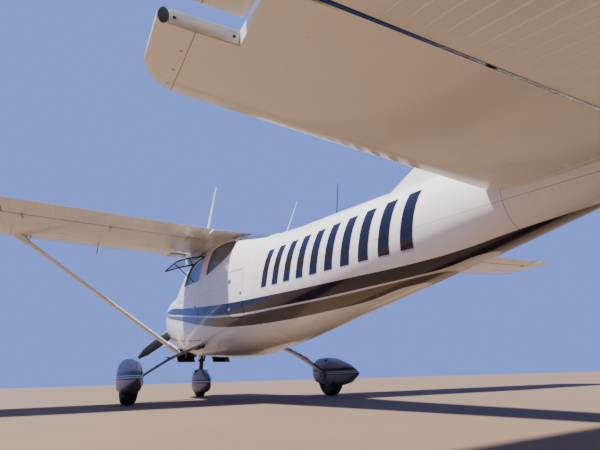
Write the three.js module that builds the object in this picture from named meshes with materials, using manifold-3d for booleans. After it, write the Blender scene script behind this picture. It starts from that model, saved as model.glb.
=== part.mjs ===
// A four-seat, high-wing, strut-braced light aircraft with fixed tricycle gear, parked.
// Millimetres. +X points to the nose, +Y to the left wing tip, +Z up, and the tyres stand on Z = 0.
// Lengthwise places are stations, counted aft from the firewall, and at() turns one into X. All is drawn
// in the airframe's own frame, and at the end stood() sets it down on its wheels with its nose a little up.
import * as THREE from "three";
import { mergeVertices } from "three/addons/utils/BufferGeometryUtils.js";
import Module from "manifold-3d";

const wasm = await Module();
wasm.setup();

// Driving dimensions
const NOSE_STATION = -1290; // tip of the spinner
const TAIL_STATION = 7200; // rudder's trailing edge at the top
const WING_SPAN = 11020;
const THRUST_HEIGHT = 1317; // propeller axis in the airframe's frame
const STANCE = { lowered: 200, noseUp: 3, pivot: 1500 }; // how the airframe sits over its wheels
const PROPELLER_RADIUS = 1041;
const GAP = 0.3; // between pieces that touch
const SLOT = 7; // around each moving panel

const MID_STATION = (NOSE_STATION + TAIL_STATION) / 2;
const at = (station) => MID_STATION - station;
const rad = THREE.MathUtils.degToRad;
const { sin, cos, tan, abs, sign, sqrt, PI } = Math;

// An axle's place in the airframe's frame, from its station along the ground and its tyre's radius
function axleAt(station, radius) {
  const [along, turn] = [station - STANCE.pivot, rad(STANCE.noseUp)];
  const height = STANCE.lowered + along * sin(turn) + radius * cos(turn);
  return [STANCE.pivot + along * cos(turn) - radius * sin(turn), height];
}

// Colours and finishes
const paint = (color, roughness = 0.3, metalness = 0) =>
  new THREE.MeshStandardMaterial({ color, roughness, metalness });
const WHITE = paint(0xe9e6dd);
const GREY = paint(0x8b8b90, 0.4);
const GLASS = paint(0xaab6bd, 0.05);
Object.assign(GLASS, { transparent: true, opacity: 0.35 });
const STEEL = paint(0x6d6a66, 0.4, 0.8);
const BLACK = paint(0x17171a, 0.5);
const RUBBER = paint(0x111112, 0.9);
const CLOTH = paint(0x5b5550, 0.9);
const LINING = paint(0x8d8378, 0.8);

// Solids from geometry, and back
function solidOf(geometry) {
  const bare = new THREE.BufferGeometry().setAttribute("position", geometry.getAttribute("position"));
  if (geometry.index) bare.setIndex(geometry.index);
  const merged = mergeVertices(bare, 1e-3);
  const mesh = new wasm.Mesh({
    numProp: 3,
    vertProperties: new Float32Array(merged.attributes.position.array),
    triVerts: new Uint32Array(merged.index.array),
  });
  return new wasm.Manifold(mesh);
}
function geometryOf(solid) {
  const { vertProperties, triVerts } = solid.getMesh();
  return new THREE.BufferGeometry()
    .setAttribute("position", new THREE.BufferAttribute(new Float32Array(vertProperties), 3))
    .setIndex(new THREE.BufferAttribute(new Uint32Array(triVerts), 1));
}
const cut = (first, ...others) => others.reduce((kept, other) => kept.subtract(other), first);
const join = (first, ...others) => others.reduce((kept, other) => kept.add(other), first);
const mirrored = (solid) => solid.mirror([0, 1, 0]);
const largest = (solid) => solid.decompose().sort((a, b) => b.volume() - a.volume())[0];

// A closed skin over rings of equal point counts, with a fan at each end. Rings are arrays of [x, y, z].
function loft(rings) {
  const count = rings[0].length;
  const points = rings.flat();
  const faces = [];
  for (let r = 0; r + 1 < rings.length; r++)
    for (let i = 0; i < count; i++) {
      const [a, b] = [r * count + i, r * count + ((i + 1) % count)];
      faces.push([a, b, b + count], [a, b + count, a + count]);
    }
  [[0, 1], [rings.length - 1, 0]].forEach(([r, turned]) => {
    const ring = rings[r];
    const middle = points.length;
    points.push([0, 1, 2].map((k) => ring.reduce((sum, p) => sum + p[k], 0) / count));
    for (let i = 0; i < count; i++) {
      const [a, b] = [r * count + i, r * count + ((i + 1) % count)];
      faces.push(turned ? [middle, b, a] : [middle, a, b]);
    }
  });
  const build = (list) => {
    const corners = new THREE.Float32BufferAttribute(points.flat(), 3);
    return solidOf(new THREE.BufferGeometry().setAttribute("position", corners).setIndex(list.flat()));
  };
  const solid = build(faces);
  return solid.volume() > 0 ? solid : build(faces.map(([a, b, c]) => [a, c, b]));
}

// Plain shapes: a box by its corners, a rod between two points, and an outline pushed sideways or up
function box([x0, y0, z0], [x1, y1, z1]) {
  const size = [x1 - x0, y1 - y0, z1 - z0].map(abs);
  return solidOf(new THREE.BoxGeometry(...size).translate((x0 + x1) / 2, (y0 + y1) / 2, (z0 + z1) / 2));
}
function rod(from, to, radius, endRadius = radius, sides = 16) {
  const [a, b] = [new THREE.Vector3(...from), new THREE.Vector3(...to)];
  const axis = b.clone().sub(a);
  const geometry = new THREE.CylinderGeometry(endRadius, radius, axis.length(), sides);
  const turn = new THREE.Quaternion().setFromUnitVectors(new THREE.Vector3(0, 1, 0), axis.clone().normalize());
  geometry.applyQuaternion(turn);
  return solidOf(geometry.translate(...a.add(b).multiplyScalar(0.5).toArray()));
}
const sidePrism = (outline, y0, y1) => loft([y0, y1].map((y) => outline.map(([s, z]) => [at(s), y, z])));
const topPrism = (outline, z0, z1) => loft([z0, z1].map((z) => outline.map(([s, y]) => [at(s), y, z])));

// A side outline grown outwards by a margin, for the slot round a panel
function grown(outline, margin) {
  const next = (i) => outline[(i + 1) % outline.length];
  const turned = sign(outline.reduce((sum, p, i) => sum + p[0] * next(i)[1] - next(i)[0] * p[1], 0));
  return outline.map((p, i) => {
    const before = outline[(i + outline.length - 1) % outline.length];
    const normals = [[before, p], [p, next(i)]].map(([a, b]) => {
      const length = Math.hypot(b[0] - a[0], b[1] - a[1]) * turned;
      return [(b[1] - a[1]) / length, (a[0] - b[0]) / length];
    });
    const share = 1 + normals[0][0] * normals[1][0] + normals[0][1] * normals[1][1];
    return [0, 1].map((k) => p[k] + (margin * (normals[0][k] + normals[1][k])) / Math.max(share, 0.4));
  });
}
// An outline with each corner rounded by an arc-like curve of a few points
function rounded(outline, radius, steps = 3) {
  return outline.flatMap((p, i) => {
    const ends = [outline[(i + outline.length - 1) % outline.length], outline[(i + 1) % outline.length]];
    const [a, b] = ends.map((q) => {
      const length = Math.hypot(q[0] - p[0], q[1] - p[1]);
      const reach = Math.min(radius, length * 0.45) / length;
      return [p[0] + (q[0] - p[0]) * reach, p[1] + (q[1] - p[1]) * reach];
    });
    return Array.from({ length: steps + 1 }, (_, k) => {
      const t = k / steps;
      return [0, 1].map((c) => (1 - t) ** 2 * a[c] + 2 * t * (1 - t) * p[c] + t * t * b[c]);
    });
  });
}

// Fuselage. Columns: station, bottom, top, half width, height of the widest point, squareness below and above
const FUSELAGE = [
  [-930, 1110, 1500, 250, 1300, 2.2, 2.2],
  [-880, 1010, 1555, 400, 1290, 2.3, 2.3],
  [-700, 900, 1590, 480, 1270, 2.6, 2.5],
  [-350, 800, 1618, 530, 1240, 2.9, 2.7],
  [0, 735, 1645, 552, 1215, 3.1, 2.8],
  [160, 716, 1690, 556, 1210, 3.2, 2.8],
  [640, 682, 2062, 560, 1220, 3.3, 3.0],
  [1200, 675, 2090, 560, 1240, 3.3, 3.2],
  [1750, 680, 2075, 545, 1260, 3.1, 3.1],
  [2250, 738, 2012, 505, 1290, 2.8, 2.8],
  [2950, 810, 1845, 420, 1330, 2.5, 2.4],
  [4000, 974, 1772, 316, 1375, 2.3, 2.2],
  [5200, 1170, 1680, 217, 1425, 2.2, 2.2],
  [6150, 1335, 1565, 117, 1450, 2.2, 2.2],
  [6720, 1390, 1510, 52, 1450, 2.0, 2.0],
];
const RING_POINTS = 36;
// The fuselage's section at a station, by a smooth curve through the table's rows
function sectionAt(station) {
  let i = FUSELAGE.findIndex((row) => row[0] >= station);
  i = Math.min(Math.max(i, 1), FUSELAGE.length - 1);
  const row = (k) => FUSELAGE[Math.min(Math.max(k, 0), FUSELAGE.length - 1)];
  const [p0, p1, p2, p3] = [i - 2, i - 1, i, i + 1].map(row);
  const span = p2[0] - p1[0];
  const t = (station - p1[0]) / span;
  const slope = (a, b, k) => (b[0] === a[0] ? 0 : ((b[k] - a[k]) / (b[0] - a[0])) * span);
  return p1.map((value, k) => {
    const [m1, m2] = [slope(p0, p2, k), slope(p1, p3, k)];
    const [t2, t3] = [t * t, t * t * t];
    const ends = (2 * t3 - 3 * t2 + 1) * value + (3 * t2 - 2 * t3) * p2[k];
    return ends + (t3 - 2 * t2 + t) * m1 + (t3 - t2) * m2;
  });
}
function bodyRing(station, inset = 0) {
  const [, bottom, top, half, middle, below, above] = sectionAt(station);
  return Array.from({ length: RING_POINTS }, (_, i) => {
    const turn = (2 * PI * (i + 0.5)) / RING_POINTS;
    const [c, s] = [cos(turn), sin(turn)];
    const square = 2 / (s > 0 ? above : below);
    const height = s > 0 ? top - inset - middle : middle - bottom - inset;
    const y = (half - inset) * sign(c) * abs(c) ** square;
    return [at(station), y, middle + height * sign(s) * abs(s) ** square];
  });
}
const bodyLoft = (stations, inset = 0) => loft(stations.map((s) => bodyRing(s, inset)));

// Wing: a cambered section, station of its nose, and its place along the span
const WING = {
  rootY: 565, breakY: 2590, tipY: 5330, rootChord: 1626, tipChord: 1120, thickness: 0.12,
  noseStation: 687, tipNoseStation: 787, noseHeight: 2008, dihedral: 2, incidence: 1.5, tipIncidence: -1.5,
};
const SECTION_POINTS = 11; // on each of the upper and lower faces
const CAMBER = 0.02;
const CAMBER_PEAK = 0.4;
// Height of the middle line at a share x of the chord, and half the section's thickness there
const middleLine = (x, camber) => {
  const rise = 2 * CAMBER_PEAK * x - x * x;
  if (x < CAMBER_PEAK) return (camber / CAMBER_PEAK ** 2) * rise;
  return (camber / (1 - CAMBER_PEAK) ** 2) * (1 - 2 * CAMBER_PEAK + rise);
};
const halfThickness = (x, thickness) =>
  5 * thickness * (0.2969 * sqrt(x) - 0.126 * x - 0.3516 * x ** 2 + 0.2843 * x ** 3 - 0.1036 * x ** 4);
// Upper and lower faces of a cambered or flat section, as [along, height] shares of the chord
function wingSection(thickness, camber) {
  const last = SECTION_POINTS - 1;
  const shares = Array.from({ length: SECTION_POINTS }, (_, i) => (1 - cos((PI * i) / last)) / 2);
  const blunt = 0.0012; // half the trailing edge's thickness
  const [upper, lower] = [1, -1].map((side) =>
    shares.map((x) => [x, middleLine(x, camber) + side * (halfThickness(x, thickness) + blunt * x)]));
  return [...upper, ...lower.slice(1).reverse()];
}
function wingStation(y) {
  const out = Math.max(0, (abs(y) - WING.breakY) / (WING.tipY - WING.breakY));
  const mix = (a, b) => a + (b - a) * out;
  return {
    chord: mix(WING.rootChord, WING.tipChord),
    nose: mix(WING.noseStation, WING.tipNoseStation),
    height: WING.noseHeight + (abs(y) - WING.rootY) * tan(rad(WING.dihedral)),
    turn: rad(mix(WING.incidence, WING.tipIncidence)),
  };
}
function wingRing(y, { shrink = 1, front = 0, back = 0 } = {}) {
  const { chord, nose, height, turn } = wingStation(y);
  return wingSection(WING.thickness * shrink, CAMBER).map(([x, h]) => {
    const [along, up] = [front + x * (chord - front - back), h * chord];
    return [at(nose + along * cos(turn) + up * sin(turn)), y, height - along * sin(turn) + up * cos(turn)];
  });
}
// A point on the wing: share of the chord, and height above the chord line in mm
function onWing(y, share, up = 0) {
  const { chord, nose, height, turn } = wingStation(y);
  const along = share * chord;
  return [nose + along * cos(turn) + up * sin(turn), height - along * sin(turn) + up * cos(turn)];
}

// Every piece is a named mesh in one group
const aircraft = new THREE.Group();
const drawn = [];
const piece = (name, solid, material) => drawn.push([name, solid, material]);
const SIDES = [["left", (solid) => solid], ["right", mirrored]];
const pair = (name, solid, material) =>
  SIDES.forEach(([side, turn]) => piece(`${name}_${side}`, turn(solid), material));

// Tie-down lugs: flat plates that stand out below what carries them
const LUG = { long: 50, thick: 12, drop: 45, rise: 30 };
const lug = (station, y, z) => box([at(station) - LUG.long / 2, y - LUG.thick / 2, z - LUG.drop],
  [at(station) + LUG.long / 2, y + LUG.thick / 2, z + LUG.rise]);
const WING_LUG = { station: 1245, y: 2540, height: 1984 };
const TAIL_LUG = { station: 5960, y: 0, height: 1312 };

// Wings with their flaps and ailerons
const FLAP = { from: 640, to: 2560, share: 0.755, endSlot: 15 };
const AILERON = { from: 2600, to: 5090, share: 0.78, endSlot: 10 };
// A control surface's nose is a round bar about its hinge, and the cut in front of it is a wider one
const BAR_SIDES = 20;
function hingeBar(ends, radii, extra) {
  const [from, to] = ends.map(([s, y, z]) => [at(s), y, z]);
  return rod(from, to, radii[0] + extra, radii[1] + extra, BAR_SIDES);
}
// All that lies aft of a hinge line, from a little forward of it, and well above and below
const BEHIND = { tall: 400, aft: 900 };
function behind(ends, y0, y1, forward = 0) {
  const corners = [[-forward, -1], [BEHIND.aft, -1], [BEHIND.aft, 1], [-forward, 1]];
  const ring = ([s, , z], y) => corners.map(([u, v]) => [at(s + u), y, z + v * BEHIND.tall]);
  return loft([ring(ends[0], y0), ring(ends[1], y1)]);
}
// Rounded wing tip. Columns: place along the span, share of the thickness, and cuts off the nose and tail
const WING_TIP = [
  [WING.tipY + 90, 0.8, 60, 6], [WING.tipY + 150, 0.45, 190, 22], [WING_SPAN / 2, 0.12, 420, 70],
];
const wingWhole = loft([
  ...[WING.rootY + GAP, WING.breakY, WING.tipY].map((y) => wingRing(y)),
  ...WING_TIP.map(([y, shrink, front, back]) => wingRing(y, { shrink, front, back })),
]);
const wingMidLine = (y, share) => {
  const [s, z] = onWing(y, share, middleLine(share, CAMBER) * wingStation(y).chord);
  return [s, y, z];
};
const aileronEnds = [AILERON.from, AILERON.to].map((y) => wingMidLine(y, AILERON.share));
const aileronRadii = [47, 36];
const flapEnds = [FLAP.from, FLAP.to].map((y) => wingMidLine(y, FLAP.share));
const flapRadii = [54, 54];
function panelHole({ from, to, endSlot }, ends, radii) {
  const wider = ends.map(([s, y, z], i) => [s, y + (i ? endSlot : -endSlot), z]);
  return join(behind(ends, from - endSlot, to + endSlot, SLOT), hingeBar(wider, radii, SLOT));
}
const aileronHole = panelHole(AILERON, aileronEnds, aileronRadii);
const flapHole = panelHole(FLAP, flapEnds, flapRadii);
const wingLug = lug(WING_LUG.station, WING_LUG.y, WING_LUG.height);
// Inside of the wing behind its main spar, open at the root, where the wing meets the cabin roof
const WING_INSIDE = { shares: [0.4, 0.5, 0.6, 0.69], wall: 12, outboard: 4950 };
const wingInside = loft([WING.rootY - 10, WING.breakY, WING_INSIDE.outboard].map((y) => {
  const face = (side) => WING_INSIDE.shares.map((share) => {
    const { chord } = wingStation(y);
    const up = chord * (middleLine(share, CAMBER) + side * halfThickness(share, WING.thickness));
    const [s, z] = onWing(y, share, up - side * WING_INSIDE.wall);
    return [at(s), y, z];
  });
  return [...face(1), ...face(-1).reverse()];
}));
const wingPanel = join(cut(wingWhole, aileronHole, flapHole, wingInside), wingLug);
const panelOf = ({ from, to }, ends, radii) =>
  join(wingWhole.intersect(behind(ends, from, to)), hingeBar(ends, radii, 0).intersect(wingWhole));
pair("wing", wingPanel, WHITE);
pair("aileron", panelOf(AILERON, aileronEnds, aileronRadii), WHITE);
pair("flap", panelOf(FLAP, flapEnds, flapRadii), WHITE);

// Cabin roof: the wing's middle, which carries both panels and closes the cabin
const roof = loft([-WING.rootY, WING.rootY].map((y) => wingRing(WING.rootY).map(([x, , z]) => [x, y, z])));
piece("cabin_roof", roof, WHITE);
const roofOutline = wingRing(WING.rootY).map(([x, , z]) => [MID_STATION - x, z]);
const roofSpace = sidePrism(grown(roofOutline, 2 * GAP), -WING.rootY - 60, WING.rootY + 60);

// Cabin: a hollow skin with door and window openings, closed by the firewall and the rear bulkhead
const CABIN_END = 2950;
const CABIN_STATIONS = [0, 160, 320, 480, 640, 920, 1200, 1475, 1750, 2000, 2250, 2600, CABIN_END];
const GLASS_STATIONS = CABIN_STATIONS.slice(1, -1);
const WALL = 28;
const SILL = 1555; // height of the windows' lower edge
const cabinOuter = bodyLoft(CABIN_STATIONS);
const cabinInner = bodyLoft([20, ...CABIN_STATIONS.slice(1, -1), CABIN_END - 25], WALL);
// The roof and everything above it in the roof's own length is kept clear
const ROOF_BACK = 2300;
const SKY = 2300; // above everything but the tail
const aboveRoof = sidePrism([
  [WING.noseStation + 2, 2012], [965, 1990], [1665, 1985], [ROOF_BACK, 1968], [ROOF_BACK, SKY],
  [WING.noseStation + 2, SKY],
], -700, 700);
const cabinSkin = cut(cabinOuter, cabinInner, roofSpace, aboveRoof);

// Openings as side outlines of station and height
const DOOR = rounded([[600, 880], [1560, 860], [1572, 1905], [860, 1925], [612, 1590]], 60);
const DOOR_WINDOW = rounded([[690, 1566], [1500, 1548], [1508, 1868], [890, 1884]], 45);
const SIDE_WINDOW = rounded([
  [1745, 1560], [1742, 1888], [2060, 1905], [2290, 1878],
  [2355, 1790], [2290, 1695], [2150, 1645], [1950, 1597],
], 60);
const WINDSHIELD = [
  [100, 1672], [280, 1628], [490, 1604], [772, 1935],
  [WING.noseStation + 8, 2004], [WING.noseStation + 4, 2200], [100, 2200],
];
const REAR_WINDOW = [
  [ROOF_BACK + 1, SKY], [ROOF_BACK + 1, 1872], [2500, 1845], [2700, 1812], [2880, 1795], [2880, SKY],
];
const REAR_WINDOW_HALF = 400;
const BAGGAGE = rounded([[2425, 1048], [2735, 1042], [2735, 1492], [2425, 1502]], 50);
const [NEAR, FAR] = [150, 800]; // sideways reach of a cut through one wall
const doorHole = sidePrism(grown(DOOR, SLOT), NEAR, FAR);
const doorWindowHole = sidePrism(DOOR_WINDOW, NEAR, FAR);
const sideWindowHole = sidePrism(SIDE_WINDOW, NEAR, FAR);
const windshieldHole = sidePrism(WINDSHIELD, -FAR, FAR);
const rearWindowHole = sidePrism(REAR_WINDOW, -REAR_WINDOW_HALF, REAR_WINDOW_HALF);
const baggageHole = sidePrism(grown(BAGGAGE, SLOT), NEAR, FAR);
const cabinShell = cut(cabinSkin, doorHole, mirrored(doorHole), sideWindowHole, mirrored(sideWindowHole),
  windshieldHole, rearWindowHole, baggageHole);
const FIREWALL_BACK = WALL + 2;
const BELLY_TOP = 850; // just below the doors
const DECK_BACK = 520;
const REAR_FRONT = 2386;
const slab = (s0, s1, y0, y1, z0, z1) => box([at(s0), y0, z0], [at(s1), y1, z1]);
const [WIDE, LOW, HIGH] = [700, 500, 2300];
const across = (s0, s1, z0, z1) => cabinShell.intersect(slab(s0, s1, -WIDE, WIDE, z0, z1));
piece("firewall", across(-10, FIREWALL_BACK, LOW, HIGH), STEEL);
piece("cabin_belly", across(FIREWALL_BACK + GAP, REAR_FRONT - GAP, LOW, BELLY_TOP), WHITE);
piece("nose_deck", largest(across(FIREWALL_BACK + GAP, DECK_BACK, SILL, HIGH)), WHITE);
const deckClear = slab(FIREWALL_BACK, DECK_BACK + GAP, -WIDE, WIDE, SILL - GAP, HIGH);
const sidePart = slab(FIREWALL_BACK + GAP, REAR_FRONT - GAP, 0, WIDE, BELLY_TOP + GAP, HIGH);
const sideSkin = cut(cabinSkin, doorHole, sideWindowHole, windshieldHole, rearWindowHole, deckClear);
pair("cabin_side", largest(sideSkin.intersect(sidePart)), WHITE);
piece("rear_cabin", largest(across(REAR_FRONT, CABIN_END + 10, LOW, HIGH)), WHITE);

// Glass fills its opening, thinner than the wall and set just inside the outer skin
const glassOuter = bodyLoft([4, ...GLASS_STATIONS, CABIN_END - 4], 5);
const glassInner = bodyLoft([1, ...GLASS_STATIONS, CABIN_END - 1], 12);
const glassSkin = cut(glassOuter, glassInner, roofSpace, aboveRoof);
const shrunk = (outline) => grown(outline, -GAP);
const glassIn = (outline, y0, y1) => glassSkin.intersect(sidePrism(shrunk(outline), y0, y1));
piece("windshield", glassIn(WINDSHIELD, -FAR, FAR), GLASS);
piece("rear_window", glassIn(REAR_WINDOW, GAP - REAR_WINDOW_HALF, REAR_WINDOW_HALF - GAP), GLASS);
pair("side_window", glassIn(SIDE_WINDOW, NEAR, FAR), GLASS);

// Doors, as thick as the wall, with their windows cut
const doorPanel = cut(cabinSkin.intersect(sidePrism(DOOR, NEAR, FAR)), doorWindowHole);
pair("door", doorPanel, WHITE);
piece("door_glass_right", mirrored(glassIn(DOOR_WINDOW, NEAR, FAR)), GLASS);
// The left door's window stands open, swung out from its top edge
const doorGlass = glassIn(DOOR_WINDOW, NEAR, FAR);
const PANE_HINGE = { y: 499, z: 1886, turn: -62 };
const openPane = doorGlass.translate([0, -PANE_HINGE.y, -PANE_HINGE.z])
  .rotate([-PANE_HINGE.turn, 0, 0])
  .translate([0, PANE_HINGE.y + 6, PANE_HINGE.z - 6]);
piece("door_glass_left", openPane, GLASS);
piece("baggage_door", cabinSkin.intersect(sidePrism(BAGGAGE, NEAR, FAR)), WHITE);

// Tail cone: a hollow skin that opens on the rear bulkhead, with a cross hole for the elevator's tube
const TAIL_STATIONS = [CABIN_END + GAP, 3450, 4000, 4600, 5200, 5700, 6150, 6450, 6720];
const STABILIZER = {
  height: 1445, hinge: 6158, rootY: 60, rootNose: 5400, rootTail: 6620,
  tipY: 1797, tipNose: 5612, tipTail: 6500,
};
const acrossTail = (y0, y1, radius) =>
  rod([at(STABILIZER.hinge), y0, STABILIZER.height], [at(STABILIZER.hinge), y1, STABILIZER.height], radius);
const tubeHole = acrossTail(-300, 300, 26);
const tailWhole = bodyLoft(TAIL_STATIONS);
const TAIL_WALL = 10;
const tailInside = bodyLoft([CABIN_END - 10, 3450, 4000, 4600, 5200, 5700, 6150, 6290], TAIL_WALL);
const tailClear = bodyLoft(TAIL_STATIONS, -2 * GAP);

// Tail surfaces: flat sections, lofted along the span
function tailRing(nose, tail, thickness, place) {
  const chord = tail - nose;
  return wingSection(thickness, 0).map(([x, h]) => place(nose + x * chord, h * chord));
}
const stabRing = (y, thickness, tuckNose = 0, tuckTail = 0) => {
  const { height, rootY, rootNose, rootTail, tipY, tipNose, tipTail } = STABILIZER;
  const mix = (a, b) => a + ((b - a) * (abs(y) - rootY)) / (tipY - rootY);
  const [nose, tail] = [mix(rootNose, tipNose) + tuckNose, mix(rootTail, tipTail) - tuckTail];
  return tailRing(nose, tail, thickness, (s, h) => [at(s), y, height + h]);
};
// Columns: distance from the middle, thickness share, and how far the nose and the tail are tucked in
const TAILPLANE = [
  [0, 0.07, 0, 0], [1600, 0.049, 0, 0], [1706, 0.048, 3, 2], [1738, 0.047, 16, 8],
  [1766, 0.045, 42, 20], [1784, 0.041, 72, 36], [STABILIZER.tipY, 0.03, 112, 52],
];
const tailplaneWhole = loft(TAILPLANE.map((row) => stabRing(...row)));
const HORN = { from: 1605, wall: 5914, nose: 5955 };
const elevatorRadii = [38, 24];
const elevatorEnds = (y0, y1) => [y0, y1].map((y) => [STABILIZER.hinge, y, STABILIZER.height]);
const ELEVATOR_ROOT = 170;
const elevatorHole = join(
  behind(elevatorEnds(0, 1), -20, 2000, SLOT),
  hingeBar(elevatorEnds(ELEVATOR_ROOT - 12, 1790), elevatorRadii, SLOT),
  box([at(HORN.wall), HORN.from - 8, 1300], [at(6500), 2000, 1600]),
);
const stabilizerCut = topPrism([[5000, 0], [7000, 0], [7000, 60], [6000, 70], [5000, 70]], 1200, 1700);
// Inside of the stabilizer and of the fin, open at the root, where each stands on the tail cone
const TAIL_SKIN = {
  root: 0.056, tip: 0.035, fin: 0.07, tuck: 45, behindSpar: 80, outboard: 1560, top: 2700,
};
const stabilizerInside = loft([
  stabRing(0, TAIL_SKIN.root, TAIL_SKIN.tuck), stabRing(TAIL_SKIN.outboard, TAIL_SKIN.tip, TAIL_SKIN.tuck),
]).subtract(behind(elevatorEnds(0, 1), -20, 2000, TAIL_SKIN.behindSpar));
const stabilizer = cut(tailplaneWhole, elevatorHole, stabilizerCut, tailClear, tubeHole, stabilizerInside);
pair("stabilizer", largest(stabilizer), WHITE);

// Elevators: one tube carries both, and they hang with the trailing edge down when parked
const DROOP = 14;
const drooped = (solid) => solid.translate([-at(STABILIZER.hinge), 0, -STABILIZER.height])
  .rotate([0, -DROOP, 0])
  .translate([at(STABILIZER.hinge), 0, STABILIZER.height]);
const elevatorBlade = join(
  tailplaneWhole.intersect(behind(elevatorEnds(0, 1), ELEVATOR_ROOT, 2000)),
  tailplaneWhole.intersect(hingeBar(elevatorEnds(ELEVATOR_ROOT, 1770), elevatorRadii, 0)),
  tailplaneWhole.intersect(box([at(HORN.nose), HORN.from, 1300], [at(6200), 2000, 1600])),
);
const elevatorTube = acrossTail(GAP, ELEVATOR_ROOT + 20, 19);
pair("elevator", drooped(join(elevatorBlade, elevatorTube)), WHITE);

// Fin with its dorsal fillet, and the rudder
const FIN = {
  rootZ: 1440, bendZ: 2830, tipZ: 2940, thickness: 0.09,
  nose: [5480, 6700], hinge: [6420, 6905], tail: [6770, TAIL_STATION - 10],
};
const finAt = (z) => {
  const share = (z - FIN.rootZ) / (FIN.tipZ - FIN.rootZ);
  const [nose, tail, hinge] = [FIN.nose, FIN.tail, FIN.hinge].map(([a, b]) => a + (b - a) * share);
  return { nose, tail, hinge };
};
const finRing = (z, tuckNose = 0, thickness = FIN.thickness) => {
  const { nose, tail } = finAt(z);
  return tailRing(nose + tuckNose, tail, thickness, (s, h) => [at(s), h, z]);
};
const finWhole = loft([
  finRing(FIN.rootZ), finRing(FIN.bendZ), finRing(FIN.bendZ + 70, 35, 0.07), finRing(FIN.tipZ, 110, 0.03),
]);
const RUDDER_BAR = { low: 1345, high: 2870, radii: [48, 30] };
const rudderWhole = loft([
  [1330, 0.06], [FIN.rootZ, FIN.thickness], [FIN.bendZ, FIN.thickness], [FIN.bendZ + 70, 0.07],
  [FIN.tipZ + 30, 0.03],
].map(([z, thickness]) => finRing(z, 0, thickness)));
const behindFin = (forward) => {
  const [low, high] = [1200, 3100];
  const edge = (z) => finAt(z).hinge - forward;
  return sidePrism([[edge(low), low], [7600, low], [7600, high], [edge(high), high]], -200, 200);
};
const rudderBar = (extra) => {
  const [low, high] = [RUDDER_BAR.low - 9 * extra, RUDDER_BAR.high + 9 * extra];
  const [foot, head] = RUDDER_BAR.radii.map((radius) => radius + extra);
  return rod([at(finAt(low).hinge), 0, low], [at(finAt(high).hinge), 0, high], foot, head, BAR_SIDES);
};
const rudder = join(rudderWhole.intersect(behindFin(0)), rudderWhole.intersect(rudderBar(0)));
const rudderSpace = join(behindFin(SLOT), rudderBar(SLOT));
const DORSAL = [
  [4430, 1738], [4755, 1852], [5300, 2000], [5760, 2105],
  [6030, 2150], [6200, 2150], [6200, 1560], [4430, 1560],
];
const dorsal = sidePrism(DORSAL, -16, 16);
const tailLug = lug(TAIL_LUG.station, TAIL_LUG.y, TAIL_LUG.height);
const finInside = loft([FIN.rootZ, TAIL_SKIN.top].map((z) => finRing(z, TAIL_SKIN.tuck, TAIL_SKIN.fin)))
  .subtract(behindFin(TAIL_SKIN.behindSpar));
piece("tail_cone", largest(join(cut(tailWhole, tailInside, tubeHole, rudderSpace), tailLug)), WHITE);
piece("fin", largest(cut(join(finWhole, dorsal), rudderSpace, tailClear, finInside)), WHITE);
piece("rudder", rudder, WHITE);

// Cowling: a thin hollow shell with two cooling inlets, open at the back and under it for the cowl flaps
const COWL_STATIONS = [-930, -880, -790, -700, -525, -350, -175, -GAP];
const COWL_WALL = 14;
const cowlOuter = bodyLoft(COWL_STATIONS);
const cowlInner = bodyLoft([-915, -870, ...COWL_STATIONS.slice(2, -1), 40], COWL_WALL);
// A ring of points round a lengthwise axis
const ringRound = (station, y, z, halfWide, halfTall, count) => Array.from({ length: count }, (_, i) => {
  const turn = (2 * PI * i) / count;
  return [at(station), y + halfWide * cos(turn), z + halfTall * sin(turn)];
});
const INLET = { y: 225, height: 1345, halfWide: 95, halfTall: 72, sides: 16 };
const inlets = [1, -1].map((side) => loft([-1100, -700].map((station) =>
  ringRound(station, side * INLET.y, INLET.height, INLET.halfWide, INLET.halfTall, INLET.sides))));
const COWL_FLAP = { from: 130, to: 400, front: -285, hinge: 778, drop: 42, thick: 8, gap: 6 };
const cowlOutlet = [1, -1].map((side) =>
  box([at(COWL_FLAP.front), side * COWL_FLAP.from, 600], [at(20), side * COWL_FLAP.to, 860]));
const NOSE = { station: -230, tyre: 178, tyreHalf: 62, collar: 650 };
const [noseStation, noseAxle] = axleAt(NOSE.station, NOSE.tyre);
const noseLegHole = rod([at(noseStation), 0, 600], [at(noseStation), 0, 1000], 75);
const shaftHole = rod([at(-1100), 0, THRUST_HEIGHT], [at(-800), 0, THRUST_HEIGHT], 120);
piece("cowling", cut(cowlOuter, cowlInner, ...inlets, ...cowlOutlet, noseLegHole, shaftHole), WHITE);
const cowlHinge = COWL_FLAP.front + COWL_FLAP.gap;
const cowlFlap = box([at(cowlHinge), COWL_FLAP.from + COWL_FLAP.gap, 0],
  [at(-12), COWL_FLAP.to - COWL_FLAP.gap, COWL_FLAP.thick])
  .translate([-at(cowlHinge), 0, 0])
  .rotate([0, -COWL_FLAP.drop, 0])
  .translate([at(cowlHinge), 0, COWL_FLAP.hinge]);
pair("cowl_flap", cowlFlap, WHITE);
const ENGINE = { front: -735, back: -60, half: 355, low: 1100, high: 1480 };
piece("engine", box([at(ENGINE.front), -ENGINE.half, ENGINE.low],
  [at(ENGINE.back), ENGINE.half, ENGINE.high]), STEEL);

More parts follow.
